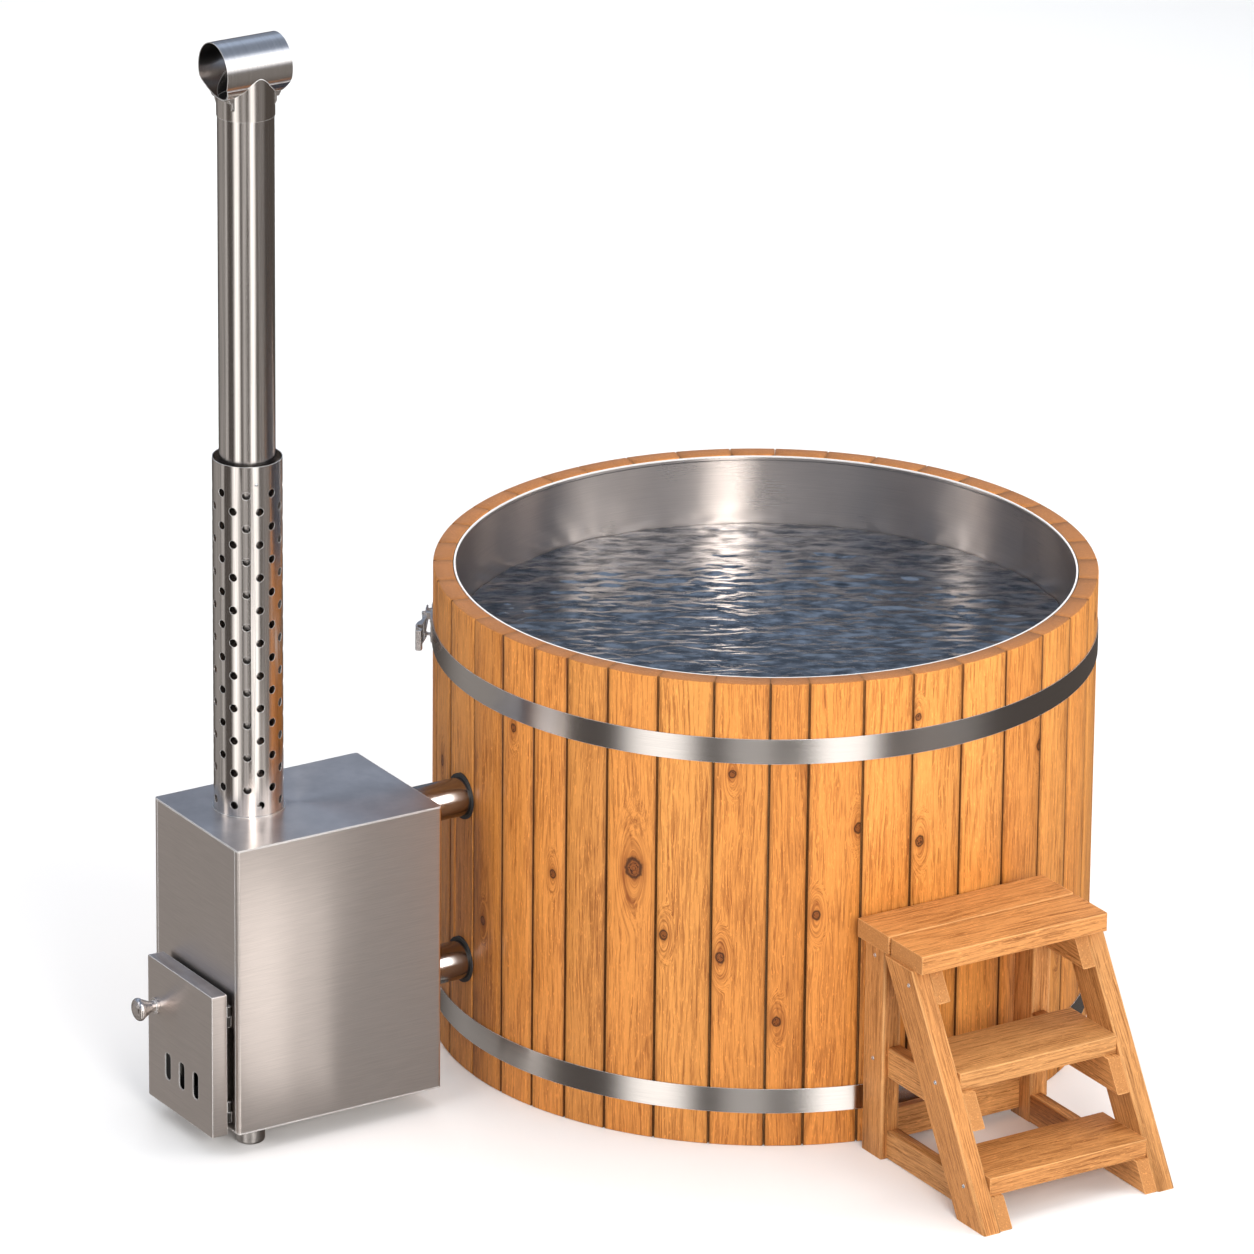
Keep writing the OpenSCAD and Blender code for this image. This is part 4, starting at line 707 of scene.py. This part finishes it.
def boardGrain(mesh, members, at, rng, knotty):
    along = longDirection(mesh, members)
    side = Vector((1, 0, 0)) if abs(along.x) < 0.5 else Vector((0, 1, 0))
    face = along.cross(side).normalized()
    side = face.cross(along)
    centred = at - at.mean(0)
    local = np.stack([centred @ np.array(way) for way in (side, face, along)], 1)
    half = np.abs(local).max(0)
    local[:, 1] -= half[1]
    found = []
    if rng.random() < boardSet["knotShare"] and knotty:
        across, onward = boardSet["knotAcross"], boardSet["knotAlong"]
        found.append((rng.uniform(-across, across) * half[0], rng.uniform(-onward, onward) * half[2],
                      rng.uniform(*boardSet["knotSizes"])))
    return local, along, side, found


def storeBoards(mesh, rows):
    for label, values in rows.items():
        isVector = label in boardVectors
        layer = mesh.attributes.new(label, "FLOAT_VECTOR" if isVector else "FLOAT", "POINT")
        layer.data.foreach_set("vector" if isVector else "value", values.astype(np.float32).ravel())


def dressBoards(nodeName, material, slotName, isRound=False):
    first, *others = nodeName.split("_")
    pieceName = first + "".join(word.capitalize() for word in others) + "Wood"
    piece = mergedCopy(nodeName, pieceName)
    mesh = piece.data
    co = np.zeros(len(mesh.vertices) * 3)
    mesh.vertices.foreach_get("co", co)
    co = co.reshape(-1, 3)
    rows = {label: np.zeros_like(co) for label in boardVectors}
    rows.update({label: np.zeros(len(co)) for label in boardNumbers})
    rng = random.Random(f"{boardSet['seed']} {nodeName}")
    knotty = slotName in boardSet["knotty"]
    for members in islandsOf(mesh):
        at = co[members]
        local, along, side, found = staveGrain(at) if isRound else boardGrain(mesh, members, at, rng, knotty)
        found = (found + [boardSet["noKnot"]] * 2)[:2]
        rows["grainPlace"][members] = local
        rows["boardAlong"][members], rows["boardSide"][members] = along, side
        rows["knotA"][members], rows["knotB"][members] = found
        rows["plankSeed"][members] = rng.random()
        rows["plankHalf"][members] = np.abs(local[:, 0]).max()
    storeBoards(mesh, rows)
    mesh.materials.clear()
    mesh.materials.append(material)
    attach(piece, "tub")
    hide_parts(nodeName)


woods = {name: makeWood(name) for name in woodLooks}
dressBoards("staves", woods["staveWood"], "wood", isRound=True)
for name in ("top_tread", "middle_tread", "bottom_tread", "step_stringers", "step_posts", "step_rails",
             "rear_rail"):
    dressBoards(name, woods["stepWood"], "wood_steps")
for name in ("floor_boards", "bearers", "bench_seat", "bench_legs"):
    dressBoards(name, woods["paleWood"], "wood_pale")
print("boards dressed")


# finishes of the parts that keep their own shape
finishes = {
    "linerSteel": ["liner"],
    "bandSteel": ["upper_hoop", "lower_hoop", "hoop_rivets"],
    "latchSteel": [
        "latch_bases", "latch_keepers", "lever_pins", "upper_lever", "lower_lever", "upper_bail",
        "lower_bail", "upper_bail_pin", "lower_bail_pin"],
    "flowPipeSteel": ["upper_pipe", "lower_pipe", "pipe_flanges"],
    "sealRubber": ["pipe_rings"],
    "turnedBrass": ["drain_tube", "valve_body", "drain_outlet"],
    "valveSteel": ["valve_ball", "valve_stem"],
    "dippedLever": ["valve_lever"],
    "sheetSteel": ["stove_wrap", "top_plate", "base_plate"],
    "doorSteel": ["door_skin"],
    "frontSteel": ["front_panel"],
    "hingeShadeSteel": ["hinge_leaves", "hinge_pins", "door_catch", "door_knuckles", "door_tongue"],
    "footSteel": ["stove_feet"],
    "sootSteel": ["firebox", "door_plate"],
    "castIron": ["grate"],
    "glassRope": ["door_seal"],
    "knobSteel": ["door_knob"],
    "fluePipeSteel": ["flue_collar", "flue_lower", "flue_upper", "guard", "guard_spacers"],
    "cowlSteel": ["cowl_neck", "cowl"],
    "screwSteel": ["step_screws"],
}
for finish, names in finishes.items():
    material = makeSteel(finish) if finish in steelLooks else makePlain(finish)
    for name in names:
        nodes[name].data.materials.clear()
        nodes[name].data.materials.append(material)
print("parts finished")


# Geometry Nodes that make a whole piece
def geometryTree(name, values):
    # Each value becomes a named input of its own type.
    kinds = {int: "Int", float: "Float", tuple: "Vector"}
    inputs = [(label, kinds[type(value)], value) for label, value in values.items()]
    return makeTree(name, "GeometryNodeTree", inputs, [("Geometry", "Geometry")])


def endTree(tree, out, geometry, material):
    smooth = put(tree, "GeometryNodeSetShadeSmooth", {"Geometry": geometry})
    real = put(tree, "GeometryNodeRealizeInstances", {"Geometry": smooth.outputs[0]})
    dressed = put(tree, "GeometryNodeSetMaterial", {"Geometry": real.outputs[0], "Material": material})
    tree.links.new(dressed.outputs[0], out["Geometry"])


def treeToPiece(tree, pieceName, values):
    # runs the tree on an empty mesh and keeps its result as a plain mesh at the origin
    carrier = addObject(pieceName + "Carrier", bpy.data.meshes.new(pieceName))
    modifier = carrier.modifiers.new("make", "NODES")
    modifier.node_group = tree
    for item in tree.interface.items_tree:
        if item.item_type == "SOCKET" and item.in_out == "INPUT":
            modifier[item.identifier] = values[item.name]
    carrier.update_tag()
    bpy.context.view_layer.update()
    shape = carrier.evaluated_get(bpy.context.evaluated_depsgraph_get())
    mesh = bpy.data.meshes.new_from_object(shape)
    bpy.data.objects.remove(carrier)
    mesh.name = pieceName
    return addObject(pieceName, mesh)


# water: a rippled surface that fills the tub to below the rim
waterSet = {
    "level": 0.997, "gap": 0.0015, "linerWall": 0.003, "thickness": 0.014,
    "rings": 190, "sides": 420, "ringSpread": 0.8, "closeWithin": 0.0002,
    "rippleHeight": 0.014, "rippleScale": 9.5, "chopHeight": 0.0105, "chopScale": 32.0, "seed": 4.0,
    "waveNoise": (1.5, 0.45), "rippleWarp": 0.6, "chopWarp": 0.3,  # detail and roughness, then the warps
    "crestTurn": -32.0, "crestStretch": 0.42,  # crests run that way, in degrees, and are drawn out so much
    "color": (0.038, 0.056, 0.088), "tintScale": 2.5, "darker": 0.7,
    # patches where the surface mirrors less: scale, detail and roughness of their noise, then its range
    "patchNoise": (34.0, 3.0, 0.6), "patches": (0.38, 0.62), "dullest": 0.15,
    "fineScale": 85.0, "bump": 0.5, "bumpDepth": 0.004,
    "shader": {
        "Roughness": 0.035, "IOR": 1.33, "Transmission Weight": 0.75,
        "Coat IOR": 2.5, "Coat Roughness": 0.02},
}


def crestWays(tree, place):
    # how far a place lies along the crests and over them
    crest = math.radians(waterSet["crestTurn"])
    ways = (math.cos(crest), math.sin(crest), 0), (-math.sin(crest), math.cos(crest), 0)
    return [vector(tree, "DOT_PRODUCT", place, way) for way in ways]


def makeWaterMaterial():
    material, tree, shader = makeMaterial("bathWater")
    place = objectPlace(tree)
    darker = solid(waterSet["darker"] * c for c in waterSet["color"])
    tint = blendColor(tree, noise(tree, place, waterSet["tintScale"]), solid(waterSet["color"]), darker)
    along, over = crestWays(tree, place)
    drawn = together(tree, times(tree, along, waterSet["crestStretch"]), over)
    patchNoise = noise(tree, drawn, *waterSet["patchNoise"])
    patches = rising(tree, patchNoise, *waterSet["patches"], waterSet["dullest"], 1.0)
    setShader(tree, shader, {"Base Color": tint, "Coat Weight": patches, **waterSet["shader"]})
    addBump(tree, shader, noise(tree, drawn, waterSet["fineScale"]), waterSet["bump"], waterSet["bumpDepth"])
    return material


def makeWater():
    linerLow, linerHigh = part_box("liner")
    values = {
        "Radius": (linerHigh.x - linerLow.x) / 2 - waterSet["linerWall"] - waterSet["gap"],
        "Level": waterSet["level"], "Ripple Height": waterSet["rippleHeight"],
        "Ripple Scale": waterSet["rippleScale"], "Chop Height": waterSet["chopHeight"],
        "Chop Scale": waterSet["chopScale"], "Crest Stretch": waterSet["crestStretch"],
        "Seed": waterSet["seed"],
    }
    tree, given, out = geometryTree("rippledWater", values)
    grid = put(tree, "GeometryNodeMeshGrid", {
        "Size X": 1.0, "Size Y": 1.0, "Vertices X": waterSet["rings"], "Vertices Y": waterSet["sides"] + 1})
    at = apart(tree, put(tree, "GeometryNodeInputPosition").outputs[0])
    ring = maths(tree, "POWER", plus(tree, at["X"], 0.5), waterSet["ringSpread"])
    reach = times(tree, ring, given["Radius"])
    turn = times(tree, plus(tree, at["Y"], 0.5), 2 * math.pi)
    east, north = (times(tree, reach, maths(tree, way, turn)) for way in ("COSINE", "SINE"))
    flat = together(tree, east, north, given["Level"])
    disc = put(tree, "GeometryNodeSetPosition", {"Geometry": grid.outputs["Mesh"], "Position": flat})
    closed = put(tree, "GeometryNodeMergeByDistance", {
        "Geometry": disc.outputs[0], "Distance": waterSet["closeWithin"]})
    along, over = crestWays(tree, put(tree, "GeometryNodeInputPosition").outputs[0])
    spot = together(tree, times(tree, along, given["Crest Stretch"]), over, given["Seed"])
    lift = 0.0
    for kind, warp in (("Ripple", waterSet["rippleWarp"]), ("Chop", waterSet["chopWarp"])):
        wave = noise(tree, spot, given[kind + " Scale"], *waterSet["waveNoise"], warp)
        lift = plus(tree, lift, swing(tree, wave, 0.5, given[kind + " Height"]))
    wavy = put(tree, "GeometryNodeSetPosition", {
        "Geometry": closed.outputs[0], "Offset": together(tree, z=lift)})
    endTree(tree, out, wavy.outputs[0], makeWaterMaterial())
    water = treeToPiece(tree, "bathWater", values)
    # the sheet gets a flat underside, so that it is a closed body
    work = bmesh.new()
    work.from_mesh(water.data)
    rim = [e for e in work.edges if e.is_boundary]
    skirt = bmesh.ops.extrude_edge_only(work, edges=rim)["geom"]
    for v in skirt:
        if isinstance(v, bmesh.types.BMVert):
            v.co.z = waterSet["level"] - waterSet["thickness"]
    bmesh.ops.contextual_create(work, geom=[e for e in work.edges if e.is_boundary])
    bmesh.ops.recalc_face_normals(work, faces=work.faces)
    work.to_mesh(water.data)
    work.free()
    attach(water, "tub")


makeWater()
print("water made")


# screws that hold the chimney's guard to its spacers
guardScrews = {
    "count": 3, "turn": -105.0, "headRadius": 0.0042, "headHeight": 0.0021, "belowTop": 0.044,
    "segments": 16, "rings": 8,
}


def makeGuardScrews():
    low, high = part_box("guard")
    values = {
        "Count": guardScrews["count"], "Ring Radius": (high.x - low.x) / 2,
        "Turn": math.radians(guardScrews["turn"]), "Head Radius": guardScrews["headRadius"],
        "Head Height": guardScrews["headHeight"],
        "Middle": ((low.x + high.x) / 2, (low.y + high.y) / 2, high.z - guardScrews["belowTop"]),
    }
    tree, given, out = geometryTree("screwRing", values)
    ring = put(tree, "GeometryNodeMeshCircle", {"Vertices": given["Count"], "Radius": given["Ring Radius"]})
    head = put(tree, "GeometryNodeMeshUVSphere", {
        "Segments": guardScrews["segments"], "Rings": guardScrews["rings"], "Radius": 1.0})
    size = together(tree, given["Head Radius"], given["Head Radius"], given["Head Height"])
    lens = put(tree, "GeometryNodeTransform", {"Geometry": head.outputs["Mesh"], "Scale": size})
    outward = put(tree, "FunctionNodeAlignRotationToVector", {
        "Vector": put(tree, "GeometryNodeInputPosition").outputs[0]}, axis="Z")
    placed = put(tree, "GeometryNodeInstanceOnPoints", {
        "Points": ring.outputs["Mesh"], "Instance": lens.outputs[0], "Rotation": outward.outputs[0]})
    turned = put(tree, "GeometryNodeTransform", {
        "Geometry": placed.outputs[0], "Translation": given["Middle"],
        "Rotation": together(tree, z=given["Turn"])})
    endTree(tree, out, turned.outputs[0], bpy.data.materials["screwSteel"])
    screws = treeToPiece(tree, "guardScrews", values)
    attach(screws, "tub")


makeGuardScrews()
print("guard screws made")


# plain studio: pale floor, soft lights, and a surround that the steel reflects
studio = {
    "floorSize": 140.0, "floorColor": (0.90, 0.90, 0.90), "floorDrop": 0.0005,
    "floorShader": {"Roughness": 0.9, "Specular IOR Level": 0.1},
    "seenSky": (1.0, 1.0, 1.0), "diffuseSky": (0.66, 0.675, 0.70),
    # bands of the mirrored surround, from the ground up, and where each begins, in degrees
    "lower": (0.045, 0.033, 0.025), "middle": (0.105, 0.090, 0.080), "behind": (0.27, 0.325, 0.425),
    "above": (0.56, 0.70, 0.94),
    "middleStart": (-50.0, -25.0), "behindStart": (-6.0, 16.0), "aboveStart": (25.0, 42.0),
    "aboveEnd": (48.0, 60.0),
    "boxTint": (1.0, 0.985, 0.965), "boxEdge": 9.0, "boxFade": (0.4, 1.6),  # the fade in half widths
    "cardSpread": 110,
}
# soft boxes that only gloss sees: degrees from the photograph's standpoint, half width, lowest and
# highest place in degrees over the horizon, strength
softBoxes = [
    (-37, 11, -90, 10, 1.7), (28, 10, -90, 10, 1.8), (-5, 8, -90, 10, 0.50), (-86, 6, -90, 10, 0.50),
    (64, 15, -90, 0, 0.17), (-116, 24, -90, 16, 0.27),
    (14, 7, 6, 60, 8.0), (-80, 6, 6, 60, 2.4), (72, 7, 6, 60, 1.2), (-8, 22, 6, 60, 0.8),
    (38, 18, 6, 60, 0.9), (64, 14, 8, 40, 1.6),
]


def boxGlow(tree, turn, rise):
    front = 270 - cameraSet["turn"]
    soft = studio["boxEdge"]
    core, fade = studio["boxFade"]
    glow = 0.0
    for degrees, half, low, high, strength in softBoxes:
        away = maths(tree, "WRAP", minus(tree, turn, front + degrees), 180.0, -180.0)
        box = rising(tree, maths(tree, "ABSOLUTE", away), half * core, half * fade, strength, 0.0)
        box = times(tree, box, rising(tree, rise, low - soft, low + soft))
        box = times(tree, box, falling(tree, rise, high - soft, high + soft))
        glow = plus(tree, glow, box)
    return together(tree, glow, glow, glow)


def makeWorld():
    world = bpy.data.worlds.new("studio")
    bpy.context.scene.world = world
    world.use_nodes = True
    tree = world.node_tree
    parts = apart(tree, put(tree, "ShaderNodeTexCoord").outputs["Generated"])
    turn = times(tree, maths(tree, "ARCTAN2", parts["Y"], parts["X"]), 180 / math.pi)
    rise = times(tree, maths(tree, "ARCSINE", parts["Z"]), 180 / math.pi)
    lower, middle, behind, above = (solid(studio[name]) for name in ("lower", "middle", "behind", "above"))
    sky = blendColor(tree, rising(tree, rise, *studio["middleStart"]), lower, middle)
    sky = blendColor(tree, rising(tree, rise, *studio["behindStart"]), sky, behind)
    band = times(tree, rising(tree, rise, *studio["aboveStart"]), falling(tree, rise, *studio["aboveEnd"]))
    sky = blendColor(tree, band, sky, above)
    boxes = blendColor(tree, 1.0, solid(studio["boxTint"]), boxGlow(tree, turn, rise), mode="MULTIPLY")
    mirrored = blendColor(tree, 1.0, sky, boxes, mode="ADD")
    path = put(tree, "ShaderNodeLightPath").outputs
    color = blendColor(tree, path["Is Glossy Ray"], solid(studio["diffuseSky"]), mirrored)
    color = blendColor(tree, path["Is Camera Ray"], color, solid(studio["seenSky"]))
    tree.links.new(color, tree.nodes["Background"].inputs["Color"])


def makeFloor():
    half = studio["floorSize"] / 2
    mesh = bpy.data.meshes.new("studioFloor")
    corners = [(-half, -half, 0), (half, -half, 0), (half, half, 0), (-half, half, 0)]
    mesh.from_pydata(corners, [], [(0, 1, 2, 3)])
    material, tree, shader = makeMaterial("paleFloor")
    setShader(tree, shader, {"Base Color": solid(studio["floorColor"]), **studio["floorShader"]})
    mesh.materials.append(material)
    floor = addObject("studioFloor", mesh)
    floor.location.z = -studio["floorDrop"]
    floor.visible_glossy = False


# soft lights: place, what it looks at, size, watts, colour
softLights = {
    "key": ((-2.9, -9.2, 3.9), (0.1, 0, 0.5), 3.8, 590, (1.0, 0.97, 0.93)),
    "fill": ((-8.5, -2.0, 4.5), (-0.8, 0, 0.8), 4.0, 150, (1.0, 0.98, 0.96)),
    "top": ((0.5, -0.5, 7.0), (0, 0, 0), 5.0, 170, (1.0, 1.0, 1.0)),
    "right": ((7.0, -5.0, 3.6), (0, 0, 0.6), 4.0, 270, (1.0, 0.98, 0.95)),
    "back": ((3.0, 7.5, 5.0), (0, 0, 0.6), 4.0, 180, (1.0, 1.0, 1.0)),
}
# cards that only gloss sees: place, what it looks at, width, height, watts, colour
glossCards = {
    "sideCard": ((-1.06, -0.86, 0.46), (-1.46, -0.1, 0.80), 0.45, 0.45, 0.10, (1.0, 0.96, 0.92)),
    "narrowCard": ((-1.26, -0.44, 0.27), (-1.45, -0.10, 0.43), 0.11, 0.50, 0.033, (1.0, 0.97, 0.95)),
    "middleCard": ((-1.27, -0.44, 0.27), (-1.46, -0.10, 0.43), 0.22, 0.50, 0.066, (1.0, 0.97, 0.95)),
    "wideCard": ((-1.27, -0.44, 0.27), (-1.46, -0.10, 0.43), 0.34, 0.50, 0.102, (1.0, 0.97, 0.95)),
    "upperPipeCard": ((-0.84, -0.055, 0.775), (-0.89, 0.06, 0.715), 0.12, 0.10, 0.12, (1.0, 0.96, 0.93)),
    "lowerPipeCard": ((-0.84, -0.055, 0.352), (-0.89, 0.06, 0.292), 0.12, 0.10, 0.12, (1.0, 0.96, 0.93)),
}


def makeLight(name, place, target, size, watts, color, height=None):
    data = bpy.data.lights.new(name, "AREA")
    data.shape = "RECTANGLE" if height else "DISK"
    data.size, data.size_y = size, height or size
    data.energy, data.color = watts, color
    light = addObject(name, data)
    light.location = place
    light.rotation_euler = (Vector(target) - Vector(place)).to_track_quat("-Z", "Y").to_euler()
    return light


def makeLights():
    for name, values in softLights.items():
        makeLight(name, *values).visible_glossy = False
    for name, (place, target, width, height, watts, color) in glossCards.items():
        card = makeLight(name, place, target, width, watts, color, height)
        card.data.spread = math.radians(studio["cardSpread"])
        card.visible_camera = card.visible_diffuse = card.visible_transmission = False


makeWorld()
makeFloor()
makeLights()
bpy.context.scene.view_settings.view_transform = "Standard"
print("studio set")
